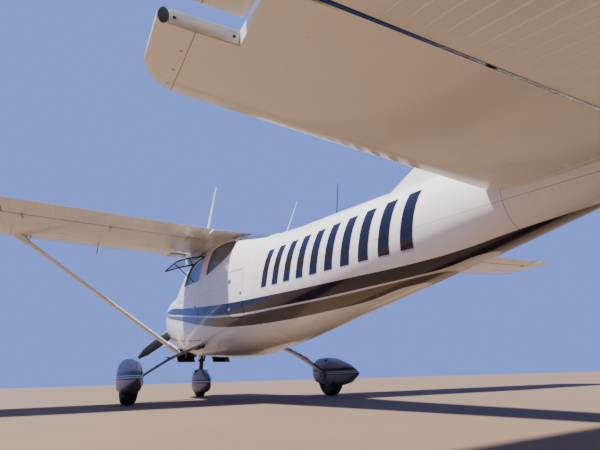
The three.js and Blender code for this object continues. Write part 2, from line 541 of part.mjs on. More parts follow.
// Propeller and spinner, stopped with one blade low on the left
const BLADE_TURN = 51; // from straight down towards the left wing
const PROP_STATION = -1010;
const BLADE_PITCH = 1350; // forward travel in one turn
function bladeRing(radius) {
  const share = radius / PROPELLER_RADIUS;
  const chord = 84 + 74 * sin(PI * Math.min(share * 0.95, 0.9)) - (share > 0.97 ? 50 : 0);
  const thick = 0.07 + 0.9 * Math.max(0, 0.36 - share);
  const pitch = Math.atan(BLADE_PITCH / (2 * PI * radius));
  return Array.from({ length: 12 }, (_, i) => {
    const turn = (2 * PI * i) / 12;
    const [u, v] = [(chord / 2) * cos(turn), (Math.max(thick * chord, 9) / 1.3) * sin(turn)];
    return [u * sin(pitch) * -1 + v * cos(pitch), u * cos(pitch) + v * sin(pitch), radius];
  });
}
const blade = loft([90, 240, 400, 650, 900, 1010, PROPELLER_RADIUS].map(bladeRing));
const placed = (solid, turn) => solid.rotate([turn, 0, 0]).translate([at(PROP_STATION), 0, THRUST_HEIGHT]);
const hub = rod([at(PROP_STATION + 130), 0, THRUST_HEIGHT], [at(PROP_STATION - 60), 0, THRUST_HEIGHT], 100);
piece("propeller", join(hub, placed(blade, 180 + BLADE_TURN), placed(blade, BLADE_TURN)), BLACK);
// Columns: radius, station
const SPINNER = [[11, NOSE_STATION], [45, -1270], [95, -1215], [135, -1130], [158, -1030], [165, -950]];
const SPINNER_INSIDE = [[40, -1255], [128, -1130], [152, -1030], [160, -930]];
const turned = (rows) => loft(rows.map(([r, s]) => ringRound(s, 0, THRUST_HEIGHT, r, r, 24)));
const bladeHoles = [0, 180].map((turn) => placed(rod([0, 0, 95], [0, 0, 260], 78), turn + BLADE_TURN));
piece("spinner", cut(turned(SPINNER), turned(SPINNER_INSIDE), ...bladeHoles), WHITE);

// Wing struts: a flattened tube from the cabin's lower corner to the wing's front spar
const STRUT = { low: [532, 560, 748], high: [985, 2540], chord: 130, thick: 52 };
const strutTop = (() => {
  const share = (STRUT.high[0] - WING.noseStation) / WING.rootChord;
  return onWing(STRUT.high[1], share, -66)[1];
})();
// A teardrop section, longer behind its thickest place than in front
function strutRing([station, y, z]) {
  return Array.from({ length: 14 }, (_, i) => {
    const turn = (2 * PI * i) / 14;
    const along = (STRUT.chord / 2) * cos(turn) * (cos(turn) > 0 ? 1.25 : 0.75);
    return [at(station + along), y, z + (STRUT.thick / 2) * 1.15 * sin(turn)];
  });
}
const strutFoot = [STRUT.low[0], STRUT.low[1] - 45, STRUT.low[2] - 20];
const strutHead = [...STRUT.high, strutTop + 30];
const strut = loft([strutRing(strutFoot), strutRing(strutHead)]);
pair("strut", largest(cut(strut, cabinOuter, wingWhole.translate([0, 0, -GAP]), wingWhole)), WHITE);

// Main gear: flat spring-steel legs, with wheels under fairings
const MAIN = { station: 1517, y: 1225, tyre: 222, tyreHalf: 80 };
const [mainStation, mainAxleHeight] = axleAt(MAIN.station, MAIN.tyre);
// Columns: sideways place, height, half width along the fuselage, half thickness
const MAIN_LEG = [
  [405, 826, 74, 12], [464, 806, 72, 12], [620, 752, 65, 11], [763, 690, 59, 10],
  [850, 645, 55, 10], [965, 573, 50, 9], [1105, 484, 44, 9],
];
function legRing([y, z, halfWide, halfThick], i, all) {
  const [before, after] = [all[Math.max(0, i - 1)], all[Math.min(all.length - 1, i + 1)]];
  const [dy, dz] = [after[0] - before[0], after[1] - before[1]];
  const length = Math.hypot(dy, dz);
  const [ny, nz] = [-dz / length, dy / length];
  return [[-1, -1], [1, -1], [1, 1], [-1, 1]].map(([u, v]) =>
    [at(mainStation) + u * halfWide, y + v * halfThick * ny, z + v * halfThick * nz]);
}
const mainLeg = loft(MAIN_LEG.map(legRing));
const axleRod = (y0, y1, radius) =>
  rod([at(mainStation), y0, mainAxleHeight], [at(mainStation), y1, mainAxleHeight], radius);
const mainAxle = axleRod(1085, MAIN.y + 55, 17);
const legFoot = box([at(mainStation - 42), 1092, mainAxleHeight - 30], [at(mainStation + 42), 1114, 500]);
pair("main_leg", largest(cut(join(mainLeg, legFoot, mainAxle), bodyLoft(CABIN_STATIONS, -3 * GAP))), GREY);

const WHEEL_SIDES = 28;
// Columns: share of the tyre's half width, and of its radius
const TYRE_ROUND = [[0, 1], [0.6, 0.98], [0.9, 0.88], [1, 0.74]];
// A closed outline of [radius, sideways] turned about the sideways axis
function lathe(outline) {
  const points = outline.map(([r, w]) => new THREE.Vector2(r, w));
  const solid = solidOf(new THREE.LatheGeometry(points, WHEEL_SIDES));
  return solid.volume() > 0 ? solid : solidOf(new THREE.LatheGeometry(points.reverse(), WHEEL_SIDES));
}
// A wheel and tyre with a bore for its axle
function wheel(centre, radius, halfWide, rim, bore) {
  const side = TYRE_ROUND.map(([w, r]) => [radius * r, halfWide * w]);
  const profile = [...side, [rim, halfWide * 0.72], [rim * 0.8, halfWide * 0.5], [bore, halfWide * 0.62]];
  const whole = [...profile, ...profile.slice(1).reverse().map(([r, w]) => [r, -w])];
  return lathe([...whole, whole[0]]).rotate([0, STANCE.noseUp, 0]).translate(centre);
}
const mainHub = [at(mainStation), MAIN.y, mainAxleHeight];
pair("main_wheel", wheel(mainHub, MAIN.tyre, MAIN.tyreHalf, 105, 19), RUBBER);

// Teardrop fairing, hollow and open below for its tyre. Columns: share of length, half width, bottom, top
const FAIRING_ROWS = [
  [0, 0.12, 0.45, 0.6], [0.05, 0.48, 0.24, 0.82], [0.16, 0.82, 0.08, 0.96], [0.34, 1, 0, 1],
  [0.54, 0.97, 0, 0.97], [0.78, 0.7, 0.15, 0.8], [0.95, 0.25, 0.4, 0.6], [1, 0.06, 0.47, 0.53],
];
const FAIRING_SIDES = 18;
const FAIRING_SQUARE = [0.45, 0.8]; // its section is boxy below and domed above
function teardrop({ station, y, length, half, low, high }, inset = 0) {
  const ring = ([along, wide, bottom, top]) => {
    const [z0, z1] = [low + bottom * (high - low) + inset, low + top * (high - low) - inset];
    const [w, h] = [half * wide - inset, (z1 - z0) / 2].map((size) => Math.max(size, 2));
    const x = at(station + inset + along * (length - 2 * inset));
    return Array.from({ length: FAIRING_SIDES }, (_, i) => {
      const turn = (2 * PI * i) / FAIRING_SIDES;
      const [c, s] = [cos(turn), sin(turn)];
      const square = FAIRING_SQUARE[s < 0 ? 0 : 1];
      return [x, y + w * sign(c) * abs(c) ** square, (z0 + z1) / 2 + h * sign(s) * abs(s) ** square];
    });
  };
  return loft(FAIRING_ROWS.map(ring));
}
const FAIRING_WALL = 9;
const MAIN_FAIRING = {
  station: mainStation - 450, y: MAIN.y + 8, length: 1095, half: 118, low: 318, high: 664,
};
// Room for a turning tyre: the tyre's own shape grown outwards, and a channel down from its axle
const TYRE_CLEAR = 9;
function tyreRoom(station, y, height, radius, half) {
  const side = [[0, 1], ...TYRE_ROUND.slice(1).reverse().map(([w, r]) => [r, w])];
  const outline = [...side, [1, 0], ...side.slice().reverse().map(([r, w]) => [r, -w])];
  const larger = grown(outline.map(([r, w]) => [radius * r, half * w]), TYRE_CLEAR);
  const room = lathe(larger.map(([r, w]) => [Math.max(r, 0), w])).translate([at(station), y, height]);
  const [along, aside] = [radius + TYRE_CLEAR, half + TYRE_CLEAR];
  return join(room, box([at(station - along), y - aside, 100], [at(station + along), y + aside, height]));
}
const mainRoom = tyreRoom(mainStation, MAIN.y, mainAxleHeight, MAIN.tyre, MAIN.tyreHalf);
const legSlot = box([at(mainStation - 50), MAIN.y - 200, mainAxleHeight - 38],
  [at(mainStation + 50), MAIN.y - 60, 508]);
const mainHollow = teardrop(MAIN_FAIRING, FAIRING_WALL);
pair("main_fairing", largest(cut(teardrop(MAIN_FAIRING), mainHollow, mainRoom, legSlot)), GREY);

// Nose gear: a fixed cylinder, and a steered fork with its wheel and fairing
piece("nose_cylinder", join(
  rod([at(noseStation), 0, NOSE.collar + GAP], [at(noseStation), 0, 1080], 42),
  box([at(noseStation) - 190, -30, 1000], [at(noseStation) + 40, 30, 1060]),
).intersect(box([at(-GAP), -200, 0], [at(-900), 200, 1080])), STEEL);
const FORK = { half: 90, thick: 12, crown: 470 };
const forkArm = (side) => box([at(noseStation - 28), side * (FORK.half - FORK.thick), noseAxle - 28],
  [at(noseStation + 28), side * FORK.half, FORK.crown + 12]);
const noseFork = join(
  rod([at(noseStation), 0, FORK.crown], [at(noseStation), 0, NOSE.collar], 30),
  box([at(noseStation - 30), -FORK.half, FORK.crown], [at(noseStation + 30), FORK.half, FORK.crown + 18]),
  forkArm(1), forkArm(-1),
  rod([at(noseStation), -92, noseAxle], [at(noseStation), 92, noseAxle], 13),
);
piece("nose_fork", noseFork, STEEL);
piece("nose_wheel", wheel([at(noseStation), 0, noseAxle], NOSE.tyre, NOSE.tyreHalf, 80, 15), RUBBER);
const NOSE_FAIRING = { station: noseStation - 300, y: 0, length: 790, half: 106, low: 168, high: 506 };
const forkSlot = box([at(noseStation - 40), -96, 160], [at(noseStation + 40), 96, FORK.crown + 24]);
const collarHole = rod([at(noseStation), 0, 400], [at(noseStation), 0, 700], 38);
const noseRoom = tyreRoom(noseStation, 0, noseAxle, NOSE.tyre, NOSE.tyreHalf);
const noseHollow = teardrop(NOSE_FAIRING, FAIRING_WALL);
const noseFairing = cut(teardrop(NOSE_FAIRING), noseHollow, noseRoom, collarHole, forkSlot);
piece("nose_fairing", largest(noseFairing), GREY);

// Cabin furniture that shows through the glass
const insideCabin = bodyLoft([20, ...GLASS_STATIONS, CABIN_END - 25], WALL + 5);
piece("cabin_floor", box([at(60), -440, 860], [at(2300), 440, 880]).intersect(insideCabin), LINING);
function seat(station, y, half, tall) {
  const cushion = box([at(station), y - half, 1030], [at(station + 480), y + half, 1150]);
  const lean = [[station + 430, 1150], [station + 530, 1150], [station + 640, tall], [station + 560, tall]];
  const back = sidePrism(lean, y - half + 10, y + half - 10);
  const base = box([at(station + 60), y - half + 60, 880 + GAP], [at(station + 420), y + half - 60, 1035]);
  return join(cushion, back.translate([0, 0, -2]), base);
}
pair("front_seat", seat(880, 255, 215, 1640), CLOTH);
piece("rear_seat", seat(1660, 0, 400, 1560), CLOTH);
const panelOutline = [[410, 1250], [480, 1250], [480, 1560], [330, 1600], [330, 1560]];
const panelBoard = sidePrism(panelOutline, -470, 470).intersect(insideCabin);
const yoke = join(
  rod([at(470), 255, 1410], [at(640), 255, 1410], 12),
  rod([at(645), 120, 1410], [at(645), 390, 1410], 12),
  rod([at(645), 125, 1400], [at(645), 110, 1500], 12),
  rod([at(645), 385, 1400], [at(645), 400, 1500], 12),
);
piece("instrument_panel", join(panelBoard, yoke, mirrored(yoke)), BLACK);

// Antennas on the cabin top and tail cone, the pitot tube, and the tie-down lugs
const ANTENNAS = [
  ["antenna_front", [1520, 500, 2060], [1862, 500, 2602], 13, 7],
  ["antenna_rear", [2960, 100, 1830], [3215, 100, 2082], 5, 3],
  ["antenna_mast", [3745, 0, 1780], [3787, 0, 2080], 4, 3],
];
ANTENNAS.forEach(([name, [s0, y0, z0], [s1, y1, z1], low, high]) => {
  const whip = rod([at(s0), y0, z0 - 30], [at(s1), y1, z1], low, high, 8);
  piece(name, largest(cut(whip, roofSpace, cabinOuter, tailWhole)), WHITE);
});
const PITOT = { y: 1670, share: 0.27 };
const [pitotStation, pitotHeight] = onWing(PITOT.y, PITOT.share, -48);
const pitotLow = pitotHeight - 118;
const pitotMast = box([at(pitotStation - 16), PITOT.y - 5, pitotLow],
  [at(pitotStation + 16), PITOT.y + 5, pitotHeight + 60]);
const pitotTube = rod([at(pitotStation - 150), PITOT.y, pitotLow],
  [at(pitotStation + 30), PITOT.y, pitotLow], 9);
const pitotWhole = cut(join(pitotMast, pitotTube), wingWhole.translate([0, 0, -GAP]), wingWhole);
piece("pitot_tube", pitotWhole, STEEL);

// The whole is lowered and tipped onto its wheels, and centred along X
const stood = (solid) => solid.translate([-at(STANCE.pivot), 0, -STANCE.lowered])
  .rotate([0, -STANCE.noseUp, 0])
  .translate([at(STANCE.pivot), 0, 0]);
const standing = drawn.map(([name, solid, material]) => [name, stood(solid), material]);
const boxes = standing.map(([, solid]) => solid.boundingBox());
const middle = (Math.max(...boxes.map((b) => b.max[0])) + Math.min(...boxes.map((b) => b.min[0]))) / 2;
const lowest = Math.min(...boxes.map((b) => b.min[2]));
standing.forEach(([name, solid, material]) => {
  const mesh = new THREE.Mesh(geometryOf(solid.translate([-middle, 0, -lowest])), material);
  mesh.name = name;
  aircraft.add(mesh);
});

// Hinge lines, in metres, each as two points of the standing aircraft
function metres([station, y, z]) {
  const [along, up, turn] = [station - STANCE.pivot, z - STANCE.lowered, rad(STANCE.noseUp)];
  const x = at(STANCE.pivot) - along * cos(turn) - up * sin(turn) - middle;
  return [x, y, up * cos(turn) - along * sin(turn) - lowest].map((value) => value / 1000);
}
aircraft.userData.hinges = {
  aileron: aileronEnds.map(metres),
  flap: flapEnds.map(metres),
  elevator: elevatorEnds(0, 1000).map(metres),
  rudder: [RUDDER_BAR.low, RUDDER_BAR.high].map((z) => metres([finAt(z).hinge, 0, z])),
  cowl_flap: [COWL_FLAP.from, COWL_FLAP.to].map((y) => metres([cowlHinge, y, COWL_FLAP.hinge])),
  steer: [[noseStation, 0, noseAxle], [noseStation, 0, NOSE.collar]].map(metres),
  nose_wheel: [[noseStation, 0, noseAxle], [noseStation, 100, noseAxle]].map(metres),
  main_wheel: [[mainStation, MAIN.y, mainAxleHeight], [mainStation, MAIN.y + 100, mainAxleHeight]].map(metres),
  propeller: [[PROP_STATION, 0, THRUST_HEIGHT], [PROP_STATION - 200, 0, THRUST_HEIGHT]].map(metres),
  door: [[591, 555, 900], [591, 555, 1580]].map(metres),
  baggage: [[2418, 500, 1060], [2418, 500, 1490]].map(metres),
  wing_lug: [[WING_LUG.station, WING_LUG.y, WING_LUG.height - LUG.drop], [WING_LUG.station, 0, 0]].map(metres),
  tail_lug: [[TAIL_LUG.station, 0, TAIL_LUG.height - LUG.drop], [0, 0, 0]].map(metres),
  origin: [[0, 0, 0], [STANCE.pivot, 0, STANCE.lowered]].map(metres),
};

export default aircraft;
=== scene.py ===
import bmesh
import bpy
import math
from mathutils import Matrix, Vector
from mathutils.bvhtree import BVHTree


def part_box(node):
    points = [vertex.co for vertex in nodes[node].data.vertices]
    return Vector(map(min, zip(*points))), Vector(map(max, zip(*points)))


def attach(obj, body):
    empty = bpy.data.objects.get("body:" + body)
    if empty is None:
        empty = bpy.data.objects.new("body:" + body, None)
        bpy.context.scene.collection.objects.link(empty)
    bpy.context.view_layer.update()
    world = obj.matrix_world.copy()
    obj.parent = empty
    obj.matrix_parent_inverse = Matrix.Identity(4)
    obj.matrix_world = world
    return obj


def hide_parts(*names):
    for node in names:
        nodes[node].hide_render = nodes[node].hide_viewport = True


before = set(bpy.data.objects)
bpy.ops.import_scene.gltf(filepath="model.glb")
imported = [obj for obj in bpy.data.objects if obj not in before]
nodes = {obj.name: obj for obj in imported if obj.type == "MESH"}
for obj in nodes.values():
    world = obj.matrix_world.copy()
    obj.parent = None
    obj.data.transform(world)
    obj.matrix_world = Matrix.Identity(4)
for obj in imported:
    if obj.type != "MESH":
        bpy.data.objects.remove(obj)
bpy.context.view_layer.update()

# Camera
# It lies near the ground, behind and outside the left stabilizer, and looks forward, up and to the right.
# Its place, turn and lens were measured against the airframe, so that the picture needs no shift.
HEADING, RISE, ROLL = -0.474711, 0.325576, -0.028307
CAMERA_PLACE = (-3.800444, 1.896448, 0.210648)
FOCAL_PIXELS, PICTURE_WIDTH, SENSOR_WIDTH = 455.6757, 600, 36
ahead = Vector((math.cos(RISE) * math.cos(HEADING), math.cos(RISE) * math.sin(HEADING), math.sin(RISE)))
level_right = Vector((math.sin(HEADING), -math.cos(HEADING), 0))
level_up = level_right.cross(ahead)
right = math.cos(ROLL) * level_right + math.sin(ROLL) * level_up
upright = math.cos(ROLL) * level_up - math.sin(ROLL) * level_right
camera = bpy.data.objects.new("camera", bpy.data.cameras.new("camera"))
camera.data.sensor_width = SENSOR_WIDTH
camera.data.lens = FOCAL_PIXELS / PICTURE_WIDTH * SENSOR_WIDTH
camera.data.clip_start = 0.05
camera.data.clip_end = 500
camera.matrix_world = Matrix.Translation(CAMERA_PLACE) @ Matrix(
    (right, upright, -ahead)).transposed().to_4x4()
bpy.context.scene.collection.objects.link(camera)
bpy.context.scene.camera = camera


# Floor
# A plain pale floor, warm enough that its light tints the undersides, as the dry ground does in the
# photograph. Its finish brings in the two classes that every material below is written with.
class Socket:
    """A node's output, whose sums, products and edges add their own nodes."""

    def __init__(self, finish, output):
        self.finish, self.output = finish, output

    def math(self, operation, *values):
        return self.finish.node("Math", {"operation": operation}, dict(enumerate(values)))

    def __add__(self, other):
        return self.math("ADD", self, other)

    def __sub__(self, other):
        return self.math("SUBTRACT", self, other)

    def __rsub__(self, other):
        return self.math("SUBTRACT", other, self)

    def __mul__(self, other):
        return self.math("MULTIPLY", self, other)

    def __truediv__(self, other):
        return self.math("DIVIDE", self, other)

    def __rtruediv__(self, other):
        return self.math("DIVIDE", other, self)

    def __mod__(self, other):
        return self.math("FLOORED_MODULO", self, other)

    def __abs__(self):
        return self.math("ABSOLUTE", self)

    __radd__ = __add__
    __rmul__ = __mul__

    def or_(self, other):
        return self.math("MAXIMUM", self, other)

    def least(self, other):
        return self.math("MINIMUM", self, other)

    def root(self):
        return self.math("SQRT", self)

    def rise(self, low, high):
        """0 below low, 1 above high"""
        return self.finish.node("MapRange", {"interpolation_type": "SMOOTHSTEP"}, {0: self, 1: low, 2: high})

    def fall(self, low, high):
        return 1 - self.rise(low, high)

    def line(self, middle, half):
        """1 within half of the middle"""
        return abs(self - middle).fall(half * 0.6, half * 1.4)


class Finish:
    """A material whose patterns lie in the aircraft's own space."""

    def __init__(self, name, colour, roughness, **fixed):
        self.material = bpy.data.materials.new(name)
        self.material.use_nodes = True
        self.tree = self.material.node_tree
        self.shader = self.tree.nodes["Principled BSDF"]
        self.colour = (*colour, 1)
        self.rough = roughness
        self.height = 0
        for socket, value in {"Base Color": self.colour, "Roughness": roughness, **fixed}.items():
            self.shader.inputs[socket].default_value = value
        self.place = self.node("TexCoord", {}, {}, "Object")
        self.x, self.y, self.z = (self.node("SeparateXYZ", {}, {0: self.place}, axis) for axis in "XYZ")

    def node(self, kind, settings, sockets, out=0):
        """Adds a node of that type. Settings come first, then its sockets' values or links."""
        made = self.tree.nodes.new("ShaderNode" + kind)
        for name, value in settings.items():
            if name == "points":
                curve = made.mapping.curves[0]
                for i, point in enumerate(value):
                    if 0 < i < len(value) - 1:
                        curve.points.new(*point)
                    else:
                        curve.points[-1 if i else 0].location = point
                made.mapping.update()
            else:
                setattr(made, name, value)
        for key, value in sockets.items():
            self.feed(made.inputs[key], value)
        return Socket(self, made.outputs[out])

    def feed(self, socket, value):
        if isinstance(value, Socket):
            self.tree.links.new(value.output, socket)
        elif value is not None:
            socket.default_value = value

    def noise(self, scale, detail=3.0, stretch=(1, 1, 1), rough=0.55):
        """Cloudy values of that fineness, squeezed along each axis by stretch"""
        place = self.node("Mapping", {}, {"Vector": self.place, "Scale": stretch})
        sockets = {"Vector": place, "Scale": scale, "Detail": detail, "Roughness": rough}
        return self.node("TexNoise", {}, sockets)

    def tint(self, mask, colour):
        """Lays a colour over what is there, where the mask is 1"""
        self.colour = self.node("Mix", {"data_type": "RGBA"}, {0: mask, 6: self.colour, 7: (*colour, 1)}, 2)

    def shade(self, mask, share):
        """Darkens or lightens what is there to a share of itself, where the mask is 1"""
        grey = self.node("CombineColor", {}, {i: mask * (share - 1) + 1 for i in range(3)})
        mix = {"data_type": "RGBA", "blend_type": "MULTIPLY"}
        self.colour = self.node("Mix", mix, {0: 1.0, 6: self.colour, 7: grey}, 2)

    def done(self, bump=0.5, distance=0.001):
        """Joins colour, roughness and height to the shader, and gives the material"""
        self.feed(self.shader.inputs["Base Color"], self.colour)
        self.feed(self.shader.inputs["Roughness"], self.rough)
        if isinstance(self.height, Socket):
            sockets = {"Strength": bump, "Distance": distance, "Height": self.height}
            self.feed(self.shader.inputs["Normal"], self.node("Bump", {}, sockets))
        return self.material


floor_finish = Finish("pale_floor", (0.14, 0.089, 0.049), 0.9)
floor_finish.shade(floor_finish.noise(1.3).rise(0.35, 0.7), 0.94)
floor_mesh = bmesh.new()
bmesh.ops.create_grid(floor_mesh, x_segments=2, y_segments=2, size=90)
floor = bpy.data.objects.new("floor", bpy.data.meshes.new("floor"))
floor_mesh.to_mesh(floor.data)
floor.data.materials.append(floor_finish.done())
bpy.context.scene.collection.objects.link(floor)

# Light
# A cool room, with one strong light high on the left that stands for the noon sun and a weak, broad one from
# behind the tail.
room = bpy.data.worlds.new("room")
room.use_nodes = True
room.node_tree.nodes["Background"].inputs["Color"].default_value = (0.23, 0.36, 1.0, 1)
room.node_tree.nodes["Background"].inputs["Strength"].default_value = 1.0
bpy.context.scene.world = room
# name, strength, width of the source in degrees, the way that its light falls, colour
LIGHTS = [
    ("noon_light", 14.0, 5, (-0.12, -0.36, -0.925), (1.0, 0.96, 0.90)),
    ("fill_light", 0.12, 60, (0.75, -0.35, -0.35), (1.0, 0.97, 0.93)),
]
for name, strength, width, way, colour in LIGHTS:
    lamp = bpy.data.objects.new(name, bpy.data.lights.new(name, "SUN"))
    lamp.data.energy = strength
    lamp.data.angle = math.radians(width)
    lamp.data.color = colour
    lamp.rotation_euler = Vector(way).to_track_quat("-Z", "Y").to_euler()
    bpy.context.scene.collection.objects.link(lamp)

# Fuselage skins
# Thin aluminium sheets riveted over frames, in glossy off-white enamel with a navy and a taupe stripe that
# meet in a point at the nose. The cabin's inside is lined. Rows of bars stand where the marks would be.
MIDDLE = 3.05363  # from the firewall's place on the ground to the frame's origin
NOSE_UP = math.radians(3)
PIVOT, LOWERED = 1.5, 0.2


def stand(station, y, height):
    """A place of the airframe, by its distance aft of the firewall and its height, on the parked aircraft"""
    along, up = station - PIVOT, height - LOWERED
    x = MIDDLE - PIVOT - along * math.cos(NOSE_UP) - up * math.sin(NOSE_UP)
    return Vector((x, y, up * math.cos(NOSE_UP) - along * math.sin(NOSE_UP)))


# Each edge of the stripes, from the top down, as distance aft of the firewall and height
NAVY_TOP = [(-0.93, 1.319), (-0.68, 1.319), (-0.42, 1.340), (-0.154, 1.347), (0.926, 1.271), (1.628, 1.226),
            (2.246, 1.197), (3.169, 1.186), (4.204, 1.184), (4.972, 1.195), (5.494, 1.244), (5.782, 1.276),
            (6.15, 1.33), (7.2, 1.42)]
LINE_TOP = [(-0.93, 1.319), (-0.68, 1.319), (0, 1.262), (0.952, 1.182), (1.642, 1.124), (2.235, 1.087),
            (2.665, 1.075), (3.369, 1.084), (3.912, 1.094), (4.341, 1.109), (4.895, 1.138), (5.303, 1.188),
            (7.2, 1.32)]
LINE_FOOT = [(-0.93, 1.319), (-0.68, 1.312), (0, 1.247), (0.957, 1.163), (1.643, 1.108), (2.229, 1.067),
             (2.657, 1.057), (3.359, 1.069), (3.90, 1.081), (4.328, 1.098), (4.88, 1.130), (7.2, 1.30)]
TAUPE_FOOT = [(-0.93, 1.319), (-0.68, 1.305), (-0.4, 1.262), (0, 1.200), (0.678, 1.131), (1.634, 1.025),
              (2.183, 0.975), (2.589, 0.961), (3.263, 0.971), (3.794, 0.998), (4.218, 1.030), (4.716, 1.095),
              (7.2, 1.28)]
NAVY, TAUPE, OFF_WHITE = (0.010, 0.010, 0.018), (0.105, 0.088, 0.066), (0.80, 0.775, 0.725)
LINING_TINT = (0.20, 0.185, 0.165)


class AirframePaint(Finish):
    """Off-white enamel, with its place measured in the airframe's own frame"""

    def __init__(self, name, colour=OFF_WHITE):
        gloss = {"Coat Weight": 0.25, "Coat Roughness": 0.06, "Specular IOR Level": 0.35}
        super().__init__(name, colour, 0.16, **gloss)
        along = (MIDDLE - PIVOT) - self.x
        self.station = along * math.cos(NOSE_UP) - self.z * math.sin(NOSE_UP) + PIVOT
        self.up = along * math.sin(NOSE_UP) + self.z * math.cos(NOSE_UP) + LOWERED

    def edge(self, rows):
        """The height of a stripe's edge at each station"""
        (first, last), (low, high) = (-0.93, 7.2), (0.8, 1.5)
        points = [((s - first) / (last - first), (h - low) / (high - low)) for s, h in rows]
        share = (self.station - first) / (last - first)
        return self.node("FloatCurve", {"points": points}, {1: share}) * (high - low) + low

    def band(self, top, foot, colour, soft=0.0015):
        mask = (self.edge(top) - self.up).rise(-soft, soft) * (self.up - self.edge(foot)).rise(-soft, soft)
        self.tint(mask, colour)

    def seam(self, value, places, half=0.0016):
        """A dark hairline at each place"""
        for place in places:
            mask = value.line(place, half)
            self.shade(mask, 0.35)
            self.height = self.height - mask * 0.6

    def rivets(self, across, places, along, pitch=0.032, size=0.0042):
        """Rows of flush heads, each a faint dimple with a darker rim"""
        for place in places:
            step = (along % pitch) - pitch / 2
            off = (across - place)
            far = (step * step + off * off).root()
            self.shade(far.line(size, size * 0.3), 0.88)
            self.height = self.height + far.fall(size * 0.7, size * 1.2) * 0.35

    def weather(self):
        """Uneven sheet and old polish, with road dust and faint runs that gather in places"""
        waves = self.noise(2.4, 2.0)
        ripple = self.noise(9.0, 2.0)
        self.height = self.height + waves * 3 + ripple * 1.6 + self.noise(260.0, 1.0) * 0.05
        cloud = self.noise(1.7, 4.0)
        self.shade(cloud.rise(0.38, 0.72), 0.93)
        self.shade(self.noise(38.0, 5.0).rise(0.60, 0.74) * cloud.rise(0.45, 0.6), 0.84)
        self.rough = self.noise(6.0, 4.0).rise(0.35, 0.75) * 0.16 + 0.13


hull = AirframePaint("hull_paint")
hull.band(NAVY_TOP, LINE_TOP, NAVY)
hull.band(LINE_TOP, LINE_FOOT, (0.62, 0.60, 0.57))
hull.band(LINE_FOOT, TAUPE_FOOT, TAUPE)
# Bars: where they start and end, the height of their foot and head, their lean, their pitch and their width
BAR_FIRST, BAR_LAST, BAR_FOOT, BAR_HEAD = 3.10, 5.00, 1.265, 1.590
BAR_LEAN, BAR_PITCH, BAR_WIDTH = 0.26, 0.19, 0.098
BAR_EDGE, BAR_SHADOW = 0.001, (0.42, 0.43, 0.46)
side = hull.y.math("SIGN", hull.y)
for shift, colour in ((0.011, BAR_SHADOW), (0, NAVY)):
    run = hull.station - (hull.up - BAR_FOOT) * BAR_LEAN * side - BAR_FIRST - shift * 0.6
    lift = hull.up + shift
    bar = ((run % BAR_PITCH) - BAR_WIDTH / 2).math("ABSOLUTE", (run % BAR_PITCH) - BAR_WIDTH / 2)
    inside = bar.fall(BAR_WIDTH / 2 - BAR_EDGE, BAR_WIDTH / 2 + BAR_EDGE)
    inside = inside * run.rise(-0.002, 0) * run.fall(BAR_LAST - BAR_FIRST - 0.002, BAR_LAST - BAR_FIRST)
    inside = inside * lift.rise(BAR_FOOT - BAR_EDGE, BAR_FOOT + BAR_EDGE)
    inside = inside * lift.fall(BAR_HEAD - BAR_EDGE, BAR_HEAD + BAR_EDGE)
    hull.tint(inside * abs(hull.y).rise(0.08, 0.1), colour)
hull.seam(hull.station, [0.155, 2.952, 4.02, 5.49, 6.18])
frame_rows = [0.175, 2.93, 2.974, 3.48, 4.0, 4.04, 4.75, 5.47, 5.51]
hull.rivets(hull.station, frame_rows, hull.up * 1.2 + hull.y * 0.5)
hull.seam(hull.up, [1.37], 0.0011)
hull.rivets(hull.up, [1.356], hull.station)
hull.weather()
# Faces that look inwards: the cabin's are lined, and the cowl flaps' and the bay's are painted near-black as
# painted shade
normal = hull.node("NewGeometry", {}, {}, "Normal")
own = {"vector_type": "NORMAL", "convert_from": "WORLD", "convert_to": "OBJECT"}
turned = hull.node("VectorTransform", own, {0: normal})
outward = hull.node("CombineXYZ", {}, {0: 0.0, 1: hull.y, 2: hull.up - 1.3})
facing = hull.node("VectorMath", {"operation": "DOT_PRODUCT"}, {0: turned, 1: outward}, "Value")
in_cabin = facing.fall(-0.12, -0.06) * hull.station.rise(0.0, 0.01) * hull.station.fall(2.94, 2.95)
hull.tint(in_cabin, LINING_TINT)
hull.rough = hull.rough + in_cabin * 0.45
# Painted shade: the inward faces low in the cowl are tinted near-black
bay_shade = hull.station.rise(-0.45, -0.43) * hull.station.fall(0.10, 0.12) * hull.up.fall(0.84, 0.86)
bay_shade = bay_shade * facing.fall(0.0, 0.12)
hull.tint(bay_shade, (0.02, 0.02, 0.02))
hull_paint = hull.done(0.35)

HULL_NODES = ["cowling", "nose_deck", "cabin_belly", "cabin_side_left", "cabin_side_right", "rear_cabin",
              "tail_cone", "door_left", "door_right", "baggage_door", "cowl_flap_left", "cowl_flap_right",
              "firewall"]


